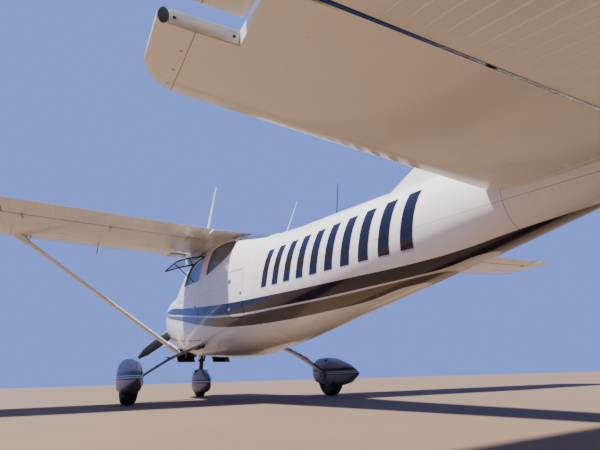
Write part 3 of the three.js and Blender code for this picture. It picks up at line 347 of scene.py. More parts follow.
# CAD meshes are loose triangles. This joins them and shades them smoothly up to a crease of 35 degrees
def even_skin():
    tree = bpy.data.node_groups.new("even_skin", "GeometryNodeTree")
    for way in ("INPUT", "OUTPUT"):
        tree.interface.new_socket("Geometry", in_out=way, socket_type="NodeSocketGeometry")
    first, last = tree.nodes.new("NodeGroupInput"), tree.nodes.new("NodeGroupOutput")
    bare = tree.nodes.new("GeometryNodeRemoveAttribute")
    bare.inputs["Name"].default_value = "custom_normal"
    merge = tree.nodes.new("GeometryNodeMergeByDistance")
    merge.inputs["Distance"].default_value = 0.00005
    smooth = tree.nodes.new("GeometryNodeSetShadeSmooth")
    crease = tree.nodes.new("GeometryNodeSetShadeSmooth")
    crease.domain = "EDGE"
    crease.inputs["Shade Smooth"].default_value = False
    angle = tree.nodes.new("GeometryNodeInputMeshEdgeAngle")
    above = tree.nodes.new("FunctionNodeCompare")
    above.operation = "GREATER_THAN"
    above.inputs[1].default_value = math.radians(35)
    chain = [first, bare, merge, smooth, crease, last]
    for a, b in zip(chain, chain[1:]):
        tree.links.new(a.outputs[0], b.inputs[0])
    tree.links.new(angle.outputs[0], above.inputs[0])
    tree.links.new(above.outputs[0], crease.inputs["Selection"])
    return tree


SKIN_TREE = even_skin()


def dress(names, material, even=True):
    """Gives CAD nodes their finish, and evens their shading unless they are plain facets"""
    for name in names:
        node = nodes[name]
        for slot in node.material_slots:
            slot.material = material
        if even:
            node.modifiers.new("even_skin", "NODES").node_group = SKIN_TREE


dress(HULL_NODES, hull_paint)


# Wings, tail surfaces and cabin roof
# Riveted sheet over ribs, off-white, with seams along the spars and rib lines across. The wings and the tail
# have a paint each, because their seams lie at different places.
class WingPaint(AirframePaint):
    def chordwise(self):
        """Share of the wing's chord at each place: the outer panel tapers"""
        out = ((abs(self.y) - 2.59) / 2.74).or_(0.0)
        return (self.station - (out * 0.1 + 0.687)) / (1.626 - out * 0.506)


wing = WingPaint("wing_paint")
share = wing.chordwise()
wing.seam(share, [0.19, 0.70], 0.0011)
wing.rivets(share * 1.5, [0.27, 0.30, 0.62, 1.02], wing.y)
ribs = (wing.y % 0.385) - 0.19
wing.rivets(ribs, [0.0], wing.station)
wing.seam(abs(wing.y), [0.575, 2.592, 5.33], 0.0016)
wing.rivets(abs(wing.y), [2.575, 5.312], wing.station)
wing.weather()
wing_paint = wing.done(0.35)
dress(["wing_left", "wing_right", "cabin_roof", "flap_left", "flap_right", "aileron_left", "aileron_right"],
      wing_paint)

tail = AirframePaint("tail_paint")
tail.seam(abs(tail.y), [1.706], 0.0013)
tail.rivets((tail.y % 0.42) - 0.2, [0.0], tail.station, 0.04, 0.0036)
# Painted shade: the hinge gap's walls, the stabilizer's hollow rear edge and the elevator's nose, are tinted
# near-black for the dark inside the gap
gap = tail.station - abs(tail.y) * 0.00855
gap_shade = gap.rise(6.110, 6.1115) * gap.fall(6.1255, 6.127) * abs(tail.up - 1.445).fall(0.0185, 0.020)
tail.tint(gap_shade * abs(tail.y).fall(1.59, 1.60), (0.012, 0.011, 0.010))
tail.weather()
tail_paint = tail.done(0.35)
dress(["stabilizer_left", "stabilizer_right", "elevator_left", "elevator_right", "fin", "rudder"], tail_paint)

# Windows
# Blown clear sheet, lightly tinted, which mirrors the sky at a flat angle.
glass = Finish("window_sheet", (0.07, 0.09, 0.11), 0.04, **{"IOR": 1.49, "Coat Weight": 0.4})
edge_on = glass.node("LayerWeight", {}, {"Blend": 0.35}, "Facing")
haze = glass.noise(14.0, 5.0).rise(0.4, 0.8)
glass.rough = haze * 0.05 + 0.02
glass.feed(glass.shader.inputs["Alpha"], edge_on * 0.45 + haze * 0.06 + 0.30)
window_sheet = glass.done()
dress(["windshield", "rear_window", "side_window_left", "side_window_right", "door_glass_left",
       "door_glass_right"], window_sheet)

# Wheel and leg fairings
# Moulded covers over each wheel in satin grey, with black bands and light lines round the lower part.
# The legs are flat spring steel, painted dark grey.
BLACK_BAND, LIGHT_LINE = (0.008, 0.008, 0.010), (0.50, 0.50, 0.50)
# height of the middle of each band above the ground, and half its width
MAIN_BANDS = {BLACK_BAND: [(0.307, 0.019), (0.274, 0.004), (0.252, 0.006)],
              LIGHT_LINE: [(0.283, 0.003), (0.265, 0.003)]}
NOSE_BANDS = {BLACK_BAND: [(0.227, 0.011), (0.1925, 0.0085)], LIGHT_LINE: [(0.212, 0.003)]}
for name, bands in (("main_fairing_left", MAIN_BANDS), ("main_fairing_right", MAIN_BANDS),
                    ("nose_fairing", NOSE_BANDS)):
    spat = AirframePaint(name + "_paint", (0.165, 0.165, 0.18))
    spat.shader.inputs["Coat Weight"].default_value = 0.15
    for colour, rows in bands.items():
        for middle, half in rows:
            spat.tint(spat.z.line(middle, half), colour)
    spat.weather()
    spat.rough = spat.rough + 0.2
    dress([name], spat.done(0.2))

leg = AirframePaint("leg_paint", (0.20, 0.20, 0.21))
leg.weather()
leg.shade(leg.noise(60.0, 6.0).rise(0.6, 0.7), 0.6)
leg_paint = leg.done(0.2)
dress(["main_leg_left", "main_leg_right"], leg_paint)
strut = AirframePaint("strut_paint")
strut.shade(strut.noise(5.0, 4.0).rise(0.38, 0.72), 0.92)
strut_paint = strut.done(0.25)
dress(["strut_left", "strut_right"], strut_paint, even=False)

# Bare and dark metals, engine and cabin floor
# Each shows its own grain: brushed steel, satin black, rough casting, worn blades, carpet and crackle paint.
steel = Finish("worn_steel", (0.42, 0.41, 0.39), 0.35, Metallic=0.9)
steel.height = steel.noise(120.0, 3.0, (1, 1, 12))
steel.rough = steel.noise(22.0, 5.0).rise(0.3, 0.8) * 0.3 + 0.25
steel.tint(steel.noise(9.0, 6.0).rise(0.58, 0.75) * 0.7, (0.12, 0.08, 0.05))
worn_steel = steel.done(0.15)
dress(["nose_cylinder", "pitot_tube"], worn_steel)
black = Finish("satin_black", (0.020, 0.020, 0.022), 0.45)
black.height = black.noise(180.0, 3.0)
black.tint(black.noise(40.0, 6.0).rise(0.62, 0.72), (0.10, 0.095, 0.09))
satin_black = black.done(0.15)
dress(["nose_fork"], satin_black)

cast = Finish("cast_metal", (0.18, 0.18, 0.17), 0.6, Metallic=0.6)
cast.height = cast.noise(180.0, 5.0) + (cast.x % 0.012).rise(0.004, 0.006) * 0.8
cast.tint(cast.noise(7.0, 6.0).rise(0.5, 0.7), (0.05, 0.04, 0.03))
cast_metal = cast.done(0.6)
dress(["engine"], cast_metal)

blade = Finish("blade_paint", (0.012, 0.012, 0.013), 0.42)
blade.height = blade.noise(300.0, 2.0)
blade.tint(blade.noise(25.0, 6.0, (1, 1, 0.5)).rise(0.66, 0.72), (0.16, 0.16, 0.16))
blade.rough = blade.noise(12.0, 5.0).rise(0.3, 0.8) * 0.25 + 0.32
dress(["propeller"], blade.done(0.1))
spinner = AirframePaint("spinner_paint")
spinner.weather()
dress(["spinner", "antenna_front", "antenna_rear"], spinner.done(0.2))
whip = Finish("whip_black", (0.02, 0.02, 0.02), 0.5)
whip.height = whip.noise(150.0)
dress(["antenna_mast"], whip.done(0.1))


carpet = Finish("floor_carpet", (0.10, 0.085, 0.07), 0.95)
carpet.height = carpet.noise(420.0, 4.0)
carpet.shade(carpet.noise(30.0, 4.0).rise(0.4, 0.7), 0.6)
dress(["cabin_floor"], carpet.done(1.0))
crackle = Finish("panel_crackle", (0.018, 0.018, 0.020), 0.6)
crackle.height = crackle.noise(380.0, 4.0)
dress(["instrument_panel"], crackle.done(0.6))


# Fittings on the skin
# Small parts are set on the CAD skins: a ray finds the surface, and the piece stands along its normal.
def skin(*names):
    solid = bmesh.new()
    for name in names:
        solid.from_mesh(nodes[name].data)
    tree = BVHTree.FromBMesh(solid)
    solid.free()
    return tree


def on_skin(tree, start, way, lift=0.0):
    place, normal = tree.ray_cast(Vector(start), Vector(way).normalized())[:2]
    return place + normal * lift, normal


def facing_out(place, normal, along=None):
    """A frame at that place whose Z is the normal, and whose X runs along"""
    z = Vector(normal).normalized()
    x = Vector(along if along else (1, 0, 0))
    x = (x - z * x.dot(z)).normalized()
    return Matrix.Translation(place) @ Matrix((x, z.cross(x), z)).transposed().to_4x4()


def add_piece(name, solid, material, body, crease=40):
    """Makes the bmesh a piece that rides on a body"""
    bmesh.ops.recalc_face_normals(solid, faces=solid.faces)
    for face in solid.faces:
        face.smooth = True
    mesh = bpy.data.meshes.new(name)
    solid.to_mesh(mesh)
    solid.free()
    mesh.set_sharp_from_angle(angle=math.radians(crease))
    mesh.materials.append(material)
    made = bpy.data.objects.new(name, mesh)
    bpy.context.scene.collection.objects.link(made)
    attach(made, body)
    return made


def block(solid, at, size, bevel=0.0, segments=2):
    """A box with eased edges, in the frame at"""
    made = bmesh.ops.create_cube(solid, size=1, matrix=at @ Matrix.Diagonal((*size, 1)))["verts"]
    if bevel:
        edges = list({edge for vert in made for edge in vert.link_edges})
        bmesh.ops.bevel(solid, geom=edges, offset=bevel, segments=segments, profile=0.5, affect="EDGES",
                        material=-1)


def head(solid, at, radius, height, sides=8):
    """A round-headed screw or rivet, half sunk"""
    bmesh.ops.create_uvsphere(solid, u_segments=sides, v_segments=4, radius=1,
                              matrix=at @ Matrix.Diagonal((radius, radius, height, 1)))


def drum(solid, at, radius, length, end=None, sides=24, bevel=0.0):
    """A round bar whose middle is at the frame's origin, along its Z"""
    made = bmesh.ops.create_cone(solid, cap_ends=True, segments=sides, radius1=radius,
                                 radius2=radius if end is None else end, depth=length, matrix=at)["verts"]
    if bevel:
        edges = [e for e in {edge for vert in made for edge in vert.link_edges} if e.calc_face_angle(0) > 0.8]
        bmesh.ops.bevel(solid, geom=edges, offset=bevel, segments=2, profile=0.5, affect="EDGES", material=-1)


def tube(solid, points, radius, sides=10, flat=1.0, across=None, closed=False):
    """A bar through the points, round or flattened across one way"""
    points = [Vector(p) for p in points]
    last = len(points) - 1
    rings = []
    for i, point in enumerate(points):
        before = points[i - 1] if i or closed else point
        after = points[(i + 1) % len(points)] if i < last or closed else point
        thick = radius[i] if isinstance(radius, (list, tuple)) else radius
        at = facing_out(point, after - before, across or (0.03, 0.05, 1)) @ Matrix.Diagonal((flat, 1, 1, 1))
        verts = bmesh.ops.create_circle(solid, segments=sides, radius=thick, matrix=at)["verts"]
        rings.append(list({edge for vert in verts for edge in vert.link_edges}))
    for a, b in zip(rings, rings[1:] + (rings[:1] if closed else [])):
        bmesh.ops.bridge_loops(solid, edges=a + b)
    if not closed:
        bmesh.ops.holes_fill(solid, edges=rings[0] + rings[-1])


SIDES = (("left", 1), ("right", -1))
hull_skin = skin("cabin_side_left", "cabin_side_right", "rear_cabin", "cabin_belly", "door_left",
                 "door_right", "tail_cone", "cowling", "nose_deck", "baggage_door", "firewall", "cabin_roof")
wing_skin = skin("wing_left", "wing_right")

# Window seals
# Black rubber channel pressed round each pane, which hides the cut edge of the skin.
seal = Finish("seal_rubber", (0.016, 0.016, 0.017), 0.7)
seal.height = seal.noise(240.0, 3.0)
seal.shade(seal.noise(16.0, 4.0).rise(0.4, 0.7), 1.8)
seal_rubber = seal.done(0.3)


def rim_loops(name, crease=50):
    """Closed runs of a node's sharp edges, longest first"""
    solid = bmesh.new()
    solid.from_mesh(nodes[name].data)
    bmesh.ops.remove_doubles(solid, verts=solid.verts, dist=0.00005)
    sharp = {e for e in solid.edges if e.calc_face_angle(0) > math.radians(crease)}
    loops = []
    while sharp:
        edge = sharp.pop()
        run, vert = [edge.verts[0].co.copy(), edge.verts[1].co.copy()], edge.verts[1]
        while True:
            onward = [e for e in vert.link_edges if e in sharp]
            if not onward:
                break
            sharp.discard(onward[0])
            vert = onward[0].other_vert(vert)
            run.append(vert.co.copy())
        if (run[0] - run[-1]).length < 0.001:
            run.pop()
        if len(run) > 6:
            loops.append(run)
    solid.free()
    return sorted(loops, key=lambda run: -sum((a - b).length for a, b in zip(run, run[1:])))


def spaced(run, step=0.01):
    """The same closed run without points closer than a step"""
    kept = [run[0]]
    for point in run[1:]:
        if (point - kept[-1]).length > step:
            kept.append(point)
    return kept


for name, body in (("windshield", "airframe"), ("rear_window", "airframe"), ("side_window_left", "airframe"),
                   ("side_window_right", "airframe"), ("door_glass_right", "door_right"),
                   ("door_glass_left", "door_left")):
    solid = bmesh.new()
    tube(solid, spaced(rim_loops(name)[0]), 0.0085, 8, closed=True)
    add_piece("seal_" + name, solid, seal_rubber, body)

# Wheels
# Black tyres with grooves round the tread, on cast rims with a dished web and bolts. The tyre is a closed
# section turned about the axle, and takes the place of the wheel's solid.
def wheel_axis(centre):
    """A frame at a wheel's hub whose Z is its axle"""
    return Matrix.Translation(centre) @ Matrix.Rotation(math.radians(90), 4, "X")


def spun(solid, profile, at, steps=40):
    """Turns a closed profile of (radius, along the axis) about the Z of the frame at"""
    verts = [bmesh.ops.create_vert(solid, co=at @ Vector((r, 0, w)))["vert"][0] for r, w in profile]
    edges = [solid.edges.new(pair) for pair in zip(verts, verts[1:] + verts[:1])]
    bmesh.ops.spin(solid, geom=verts + edges, cent=at.translation, axis=at.to_3x3() @ Vector((0, 0, 1)),
                   angle=math.tau, steps=steps, use_merge=True)


# Half of a tyre's section from the middle of its tread: share of its half width, share of its radius
TYRE_HALF = [(0.0, 0.98), (0.06, 0.98), (0.08, 1.0), (0.30, 0.996), (0.32, 0.976), (0.40, 0.974),
             (0.42, 0.992), (0.66, 0.972), (0.9, 0.88), (1.0, 0.74), (0.93, 0.60), (0.74, 0.49)]
rubber = Finish("tyre_rubber", (0.020, 0.019, 0.018), 0.8)
rubber.tint(rubber.noise(14.0, 6.0).rise(0.4, 0.75) * 0.6, (0.13, 0.10, 0.075))
rubber.shade(rubber.noise(90.0, 3.0).rise(0.5, 0.7), 1.5)
rubber.height = rubber.noise(220.0, 3.0) * 0.3
tyre_rubber = rubber.done(0.5)
alloy = Finish("cast_alloy", (0.42, 0.42, 0.42), 0.42, Metallic=0.85)
alloy.height = alloy.noise(160.0, 4.0)
alloy.rough = alloy.noise(20.0, 4.0).rise(0.3, 0.7) * 0.2 + 0.34
alloy.tint(alloy.noise(11.0, 6.0).rise(0.55, 0.75) * 0.6, (0.13, 0.11, 0.09))
cast_alloy = alloy.done(0.2)
# wheel, half width, radius, rim's radius
WHEELS = [("main_wheel_left", 0.080, 0.222, 0.106), ("main_wheel_right", 0.080, 0.222, 0.106),
          ("nose_wheel", 0.062, 0.178, 0.083)]
for name, half, radius, rim in WHEELS:
    low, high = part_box(name)
    at = wheel_axis((low + high) / 2)
    side = [(r * radius, w * half) for w, r in TYRE_HALF]
    side[-1] = (rim, side[-1][1])
    solid = bmesh.new()
    spun(solid, side + [(r, -w) for r, w in side[::-1][:-1]], at)
    tyre = add_piece(name + "_tyre", solid, tyre_rubber, name, 50)
    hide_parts(name)
    solid = bmesh.new()
    web = [(rim + 0.006, 0.74 * half), (rim, 0.66 * half), (rim * 0.86, 0.62 * half),
           (rim * 0.80, 0.40 * half), (rim * 0.42, 0.34 * half), (rim * 0.38, 0.60 * half),
           (0.026, 0.64 * half)]
    spun(solid, web + [(r, -w) for r, w in web[::-1]], at)
    for face in (1, -1):
        for i in range(6):
            turn = math.tau * i / 6
            c, s = rim * 0.62 * math.cos(turn), rim * 0.62 * math.sin(turn)
            place = at @ Matrix.Translation((c, s, face * 0.37 * half))
            drum(solid, place, 0.006, 0.014, sides=6, bevel=0.001)
    add_piece(name + "_rim", solid, cast_alloy, name, 35)

# Undercarriage fittings
# Axle nuts, discs that turn with the wheels, brake pipes clipped along the legs, clamps at the belly, steps,
# and at the nose the scissor links and the steering damper.
for side, sign in SIDES:
    low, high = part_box("main_wheel_" + side)
    hub = (low + high) / 2
    disc = bmesh.new()
    drum(disc, wheel_axis(hub - Vector((0, sign * 0.062, 0))), 0.074, 0.006, sides=40, bevel=0.001)
    add_piece("brake_disc_" + side, disc, worn_steel, "main_wheel_" + side)
    line, gear = bmesh.new(), bmesh.new()
    run = [(0.44, 0.845), (0.62, 0.768), (0.763, 0.706), (0.85, 0.661), (0.965, 0.589), (1.09, 0.505)]
    tube(line, [stand(1.585 - 0.2 * (y - 0.44) * 0.2, sign * y, h) for y, h in run], 0.0035, 6)
    for y, h in run[1:-1]:
        clip = facing_out(stand(1.57, sign * y, h - 0.004), (0, -0.5 * sign, 1))
        block(line, clip, (0.03, 0.012, 0.012), 0.002, 1)
    add_piece("brake_pipe_" + side, line, satin_black, "airframe")
    for y, h, width in ((0.475, 0.79, 0.185), (0.52, 0.776, 0.172)):
        block(gear, facing_out(stand(1.505, sign * y, h), (0, -0.45 * sign, 1)), (width, 0.024, 0.044), 0.004)
    tread = facing_out(stand(1.50, sign * 0.843, 0.672), (0, 0, 1))
    block(gear, tread, (0.10, 0.05, 0.006), 0.002)
    block(gear, tread @ Matrix.Translation((0, -0.02 * sign, -0.014)), (0.05, 0.006, 0.03), 0.001)
    add_piece("leg_clamps_" + side, gear, satin_black, "airframe")
    nut = bmesh.new()
    drum(nut, wheel_axis(hub + Vector((0, sign * 0.066, 0))), 0.022, 0.03, sides=6, bevel=0.002)
    block(nut, Matrix.Translation(hub + Vector((0.062, -sign * 0.058, 0.03))), (0.05, 0.03, 0.06), 0.006)
    add_piece("axle_nut_" + side, nut, cast_alloy, "airframe")

NOSE_POST = Vector((-math.sin(NOSE_UP), 0, math.cos(NOSE_UP)))
low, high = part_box("nose_wheel")
nose_hub = (low + high) / 2
links = bmesh.new()
for face in (1, -1):
    for low_end, high_end in (((-0.05, 0.34), (-0.15, 0.42)), ((-0.15, 0.42), (-0.05, 0.50))):
        ends = [nose_hub + NOSE_POST * z + Vector((x, face * 0.022, 0)) for x, z in (low_end, high_end)]
        tube(links, ends, 0.011, 8, flat=0.6)
drum(links, facing_out(nose_hub + NOSE_POST * 0.42 + Vector((-0.15, 0, 0)), (0, 1, 0)), 0.01, 0.075, sides=12)
for height, radius in ((0.335, 0.05), (0.48, 0.048)):
    drum(links, facing_out(nose_hub + NOSE_POST * height, NOSE_POST), radius, 0.03, sides=28, bevel=0.004)
for face in (1, -1):
    drum(links, wheel_axis(nose_hub + Vector((0, face * 0.096, 0))), 0.020, 0.014, sides=6, bevel=0.002)
add_piece("nose_scissor", links, satin_black, "nose_leg")
damper = bmesh.new()
place = nose_hub + NOSE_POST * 0.56
tube(damper, [place + Vector((0.05, -0.14, 0)), place + Vector((0.05, 0.10, 0))], 0.02, 16)
tube(damper, [place + Vector((0.05, 0.10, 0)), place + Vector((0.05, 0.17, 0))], 0.007, 10)
drum(damper, facing_out(place, NOSE_POST), 0.052, 0.036, sides=28, bevel=0.004)
block(damper, Matrix.Translation(place + Vector((0.045, 0, 0))), (0.05, 0.05, 0.03), 0.004)
add_piece("nose_damper", damper, worn_steel, "airframe")

# Beaded skins
# The thin sheet of the flaps, ailerons, elevators and rudder is stiffened by pressed beads that run from
# just behind the hinge to the trailing edge.
BEAD_WIDE, BEAD_TALL = 0.007, 0.0036
AFT, UPWARD = stand(1, 0, 0) - stand(0, 0, 0), stand(0, 0, 1) - stand(0, 0, 0)


def bead(solid, tree, front, back, y, height, way, points=6):
    """A half-sunk ridge across a panel from its front to its back, on the face that looks against way"""
    starts = [Vector((front + (back - front) * i / 60, y, height)) - way * 0.6 for i in range(61)]
    hits = [spot for spot in (tree.ray_cast(start, way)[0] for start in starts) if spot]
    hits = hits[len(hits) // 12:-2]
    if len(hits) < points:
        return
    run = [hits[round(i * (len(hits) - 1) / (points - 1))] for i in range(points)]
    thick = [BEAD_WIDE * (0.3 if i in (0, points - 1) else 1) for i in range(points)]
    tube(solid, run, thick, 6, flat=BEAD_TALL / BEAD_WIDE, across=way)


# panel, first and last place along the span, beads
BEADED = [("flap", 0.70, 2.50, 16), ("aileron", 2.70, 5.00, 18), ("elevator", 0.26, 1.56, 25)]
for side, sign in SIDES:
    for name, first, last, count in BEADED:
        node = name + "_" + side
        tree = skin(node)
        low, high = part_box(node)
        solid = bmesh.new()
        for i in range(count):
            y = sign * (first + (last - first) * i / (count - 1))
            for way in (UPWARD, -UPWARD):
                bead(solid, tree, high.x, low.x, y, (low.z + high.z) / 2, way)
        add_piece("beads_" + node, solid, wing_paint if name != "elevator" else tail_paint,
                  "elevator" if name == "elevator" else node)
rudder_skin = skin("rudder")
solid = bmesh.new()
low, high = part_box("rudder")
for i in range(11):
    for way in (Vector((0, 1, 0)), Vector((0, -1, 0))):
        bead(solid, rudder_skin, high.x, low.x, 0, 1.02 + 0.12 * i, way)
add_piece("beads_rudder", solid, tail_paint, "rudder")

# Stabilizer tips
# A bare plate closes the notch in front of each elevator's horn, with a dark rounded end. Its two tooling
# holes are black discs, painted shade where the open holes are dark inside. Round-headed screws hold the
# moulded tip cap.
bare = Finish("bare_plate", (0.50, 0.48, 0.43), 0.45, Metallic=0.35)
bare.height = bare.noise(90.0, 3.0, (1, 8, 1))
bare.shade(bare.noise(22.0, 5.0).rise(0.4, 0.7), 0.85)
bare_plate = bare.done(0.15)
tail_skin = skin("stabilizer_left", "stabilizer_right")
for side, sign in SIDES:
    plate, dark, screws = bmesh.new(), bmesh.new(), bmesh.new()
    ends = [stand(5.9155, sign * y, 1.4445) for y in (1.598, 1.769)]
    at = facing_out((ends[0] + ends[1]) / 2, AFT, (0, 1, 0))
    block(plate, at, ((ends[1] - ends[0]).length, 0.040, 0.004), 0.0015)
    # Painted shade: black discs stand for the dark inside of the two tooling holes
    for place in (1.612, 1.757):
        drum(dark, facing_out(stand(5.9181, sign * place, 1.4445), AFT), 0.0042, 0.0014, sides=14)
    outer_end = facing_out(stand(5.9155, sign * 1.782, 1.4445), AFT, (0, 1, 0))
    drum(dark, outer_end @ Matrix.Diagonal((0.6, 1, 1, 1)), 0.0205, 0.0045, sides=24)
    for station in (5.66, 5.74, 5.83):
        for way in (UPWARD, -UPWARD):
            place, normal = on_skin(tail_skin, stand(station, sign * 1.722, 1.4445) - way * 0.3, way)
            head(screws, facing_out(place, normal), 0.0048, 0.0016)
    add_piece("notch_plate_" + side, plate, bare_plate, "airframe")
    add_piece("notch_holes_" + side, dark, satin_black, "airframe")
    add_piece("tip_screws_" + side, screws, worn_steel, "airframe")

# Seats
# Foam cushions and backs in dark woven cloth, with piping round the edge and sewn channels across, on a light
# steel frame. Each pad is swollen by a cloth simulation, and the channels and piping are laid on afterwards.
weave = Finish("seat_weave", (0.085, 0.072, 0.062), 0.92, **{"Sheen Weight": 0.3})
THREAD = 0.0022
threads = [(axis % THREAD).line(THREAD / 2, THREAD * 0.32) for axis in (weave.x + weave.z, weave.y)]
weave.height = threads[0] * 0.6 + threads[1] * 0.6 + weave.noise(500.0, 2.0) * 0.5
weave.shade(threads[0].or_(threads[1]), 1.35)
weave.shade(weave.noise(9.0, 5.0).rise(0.4, 0.7), 0.8)
seat_weave = weave.done(0.7)
PAD_VOXEL, PAD_CAP = 0.011, 0.022


def settled(made):
    """Applies what is on a mesh"""
    shape = bpy.data.meshes.new_from_object(made.evaluated_get(bpy.context.evaluated_depsgraph_get()))
    made.modifiers.clear()
    made.data = shape


def cushion(name, body, at, size, channels, replaced):
    """A stuffed pad whose middle is at the frame at, with sewn channels across its width"""
    length, width, thick = size
    solid = bmesh.new()
    block(solid, Matrix.Identity(4), (length - 0.03, width - 0.03, thick - 0.024), 0.028, 4)
    made = add_piece(name, solid, seat_weave, body)
    even = made.modifiers.new("even", "REMESH")
    even.mode, even.voxel_size = "VOXEL", PAD_VOXEL
    settled(made)
    rest = [vert.co.copy() for vert in made.data.vertices]
    cloth = made.modifiers.new("swell", "CLOTH")
    cloth.settings.use_pressure = True
    cloth.settings.uniform_pressure_force = 4
    cloth.settings.effector_weights.gravity = 0
    for step in range(1, 21):
        bpy.context.scene.frame_set(step)
    settled(made)
    bpy.context.scene.frame_set(1)
    for vert, start in zip(made.data.vertices, rest):
        moved = vert.co - start
        if moved.length > PAD_CAP:
            vert.co = start + moved.normalized() * PAD_CAP
    limits = [max(abs(vert.co[k]) for vert in made.data.vertices) for k in range(3)]
    fine = made.modifiers.new("fine", "SUBSURF")
    fine.levels = fine.render_levels = 1
    settled(made)
    for vert in made.data.vertices:
        u, v, w = (vert.co[k] / limits[k] for k in range(3))
        seam = sum(math.exp(-((vert.co.x - place * length) / 0.007) ** 2) for place in channels)
        pull = 1 - 0.035 * (1 - v * v) * abs(u) ** 3, 1 - 0.03 * (1 - u * u) * abs(v) ** 3
        sunk = 1 - 0.16 * seam * (1 - abs(v) ** 6)
        vert.co = Vector((vert.co.x * pull[0] * length / 2 / limits[0],
                          vert.co.y * pull[1] * width / 2 / limits[1],
                          vert.co.z * thick / 2 / limits[2] * sunk))
    tree = BVHTree.FromPolygons([v.co for v in made.data.vertices], [p.vertices for p in made.data.polygons])
    made.data.transform(at)
    for face in made.data.polygons:
        face.use_smooth = True
    made.data.materials.clear()
    made.data.materials.append(seat_weave)
    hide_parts(replaced)
    piping = bmesh.new()
    for level in (thick * 0.30, -thick * 0.30):
        run = []
        for i in range(48):
            turn = math.tau * i / 48
            c, s = math.cos(turn), math.sin(turn)
            spot = Vector((length / 2 * math.copysign(abs(c) ** 0.25, c),
                           width / 2 * math.copysign(abs(s) ** 0.25, s), level))
            run.append(at @ tree.find_nearest(spot)[0])
        tube(piping, run, 0.0036, 6, closed=True)
    add_piece(name + "_piping", piping, seal_rubber, body)


def seat_frame(name, station, y, half):
    """Two floor rails, four legs and a frame under the cushion"""
    solid = bmesh.new()
    for face in (1, -1):
        across = y + face * (half - 0.07)
        block(solid, facing_out(stand(station + 0.24, across, 0.888), UPWARD), (0.46, 0.03, 0.014), 0.003)
        tube(solid, [stand(station + 0.07, across, 0.896), stand(station + 0.08, across, 1.02),
                     stand(station + 0.42, across, 1.02), stand(station + 0.41, across, 0.896)], 0.011, 10)
    for along in (0.10, 0.40):
        ends = [stand(station + along, y + face * (half - 0.07), 1.015) for face in (-1, 1)]
        tube(solid, ends, 0.009, 8)
    add_piece(name, solid, satin_black, "airframe")


LEAN = math.radians(16)
# seat, where its cushion starts, its middle, half its width, the height of its back
SEATS = [("front_seat_left", 0.88, 0.255, 0.215, 1.64), ("front_seat_right", 0.88, -0.255, 0.215, 1.64),
         ("rear_seat", 1.66, 0, 0.40, 1.56)]
for name, station, y, half, tall in SEATS:
    base = facing_out(stand(station + 0.235, y, 1.092), UPWARD)
    cushion(name + "_cushion", "airframe", base, (0.46, 2 * half - 0.01, 0.112), (-0.22, 0.02, 0.26), name)
    spine = (UPWARD * math.cos(LEAN) + AFT * math.sin(LEAN)).normalized()
    height = (tall - 1.15) / math.cos(LEAN)
    across_back = (-AFT * math.cos(LEAN) + UPWARD * math.sin(LEAN)).normalized()
    back = facing_out(stand(station + 0.543, y, (1.15 + tall) / 2 + 0.004), across_back, spine)
    back_size = (height - 0.02, 2 * half - 0.03, 0.082)
    cushion(name + "_back", "airframe", back, back_size, (-0.26, 0.0, 0.26), name)
    seat_frame(name + "_frame", station, y, half)

# Cabin lining and controls
# A headliner under the roof, a padded lip over the panel, round dials in three rows, yoke grips, switches,
# levers and pedals, as far as they show through the glass.
trim = Finish("trim_fabric", (0.30, 0.275, 0.24), 0.9)
trim.height = trim.noise(340.0, 4.0)
trim.shade(trim.noise(7.0, 4.0).rise(0.4, 0.7), 0.85)
trim_fabric = trim.done(0.5)
solid = bmesh.new()
block(solid, facing_out(stand(1.50, 0, 1.957), UPWARD + AFT * 0.026), (1.40, 0.70, 0.008), 0.003)
for y in (-0.22, 0.22):
    block(solid, facing_out(stand(1.02, y, 1.945), UPWARD), (0.16, 0.26, 0.008), 0.003)
add_piece("headliner", solid, trim_fabric, "airframe")
dials, faces, marks, grips = (bmesh.new() for _ in range(4))
for row, height in enumerate((1.505, 1.415, 1.325)):
    for column in range(7):
        y = 0.39 - 0.105 * column
        radius = 0.037 if row < 2 and column < 4 else 0.026
        at = facing_out(stand(0.4815, y, height), AFT, (0, 1, 0))
        drum(dials, at, radius + 0.005, 0.005, sides=24, bevel=0.0015)
        drum(faces, at @ Matrix.Translation((0, 0, 0.0027)), radius, 0.0012, sides=24)
        for tick in range(8):
            turned = at @ Matrix.Rotation(math.tau * tick / 8, 4, "Z")
            block(marks, turned @ Matrix.Translation((radius * 0.8, 0, 0.0036)), (0.007, 0.0015, 0.0006))
        turned = at @ Matrix.Rotation(1.1 + 0.8 * column + row, 4, "Z")
        block(marks, turned @ Matrix.Translation((radius * 0.3, 0, 0.0040)), (radius * 0.7, 0.002, 0.0008))
for i in range(9):
    at = facing_out(stand(0.484, 0.30 - 0.035 * i, 1.275), AFT)
    block(dials, at, (0.012, 0.012, 0.016), 0.002, 1)
for y, radius in ((-0.03, 0.017), (0.0, 0.014), (0.03, 0.012)):
    tube(dials, [stand(0.48, y, 1.30), stand(0.55, y, 1.30)], 0.005, 8)
    drum(grips, facing_out(stand(0.556, y, 1.30), AFT), radius, 0.02, sides=20, bevel=0.004)
for face in (1, -1):
    for low_y, high_y in ((0.127, 0.112), (0.383, 0.398)):
        tube(grips, [stand(0.645, face * low_y, 1.41), stand(0.645, face * high_y, 1.495)], 0.017, 12)
    for y in (0.17, 0.32):
        tube(grips, [stand(0.20, face * y, 0.885), stand(0.23, face * y, 0.96)], 0.008, 8)
        pedal = facing_out(stand(0.235, face * y, 0.985), AFT + UPWARD * 0.4, (0, 1, 0))
        block(grips, pedal, (0.085, 0.055, 0.012), 0.003)
tube(grips, [stand(0.455, -0.455, 1.572), stand(0.46, 0, 1.580), stand(0.455, 0.455, 1.572)], 0.016, 12)
ivory = Finish("dial_white", (0.75, 0.74, 0.70), 0.6)
ivory.height = ivory.noise(300.0, 2.0)
ivory.shade(ivory.noise(60.0, 3.0).rise(0.4, 0.7), 0.9)
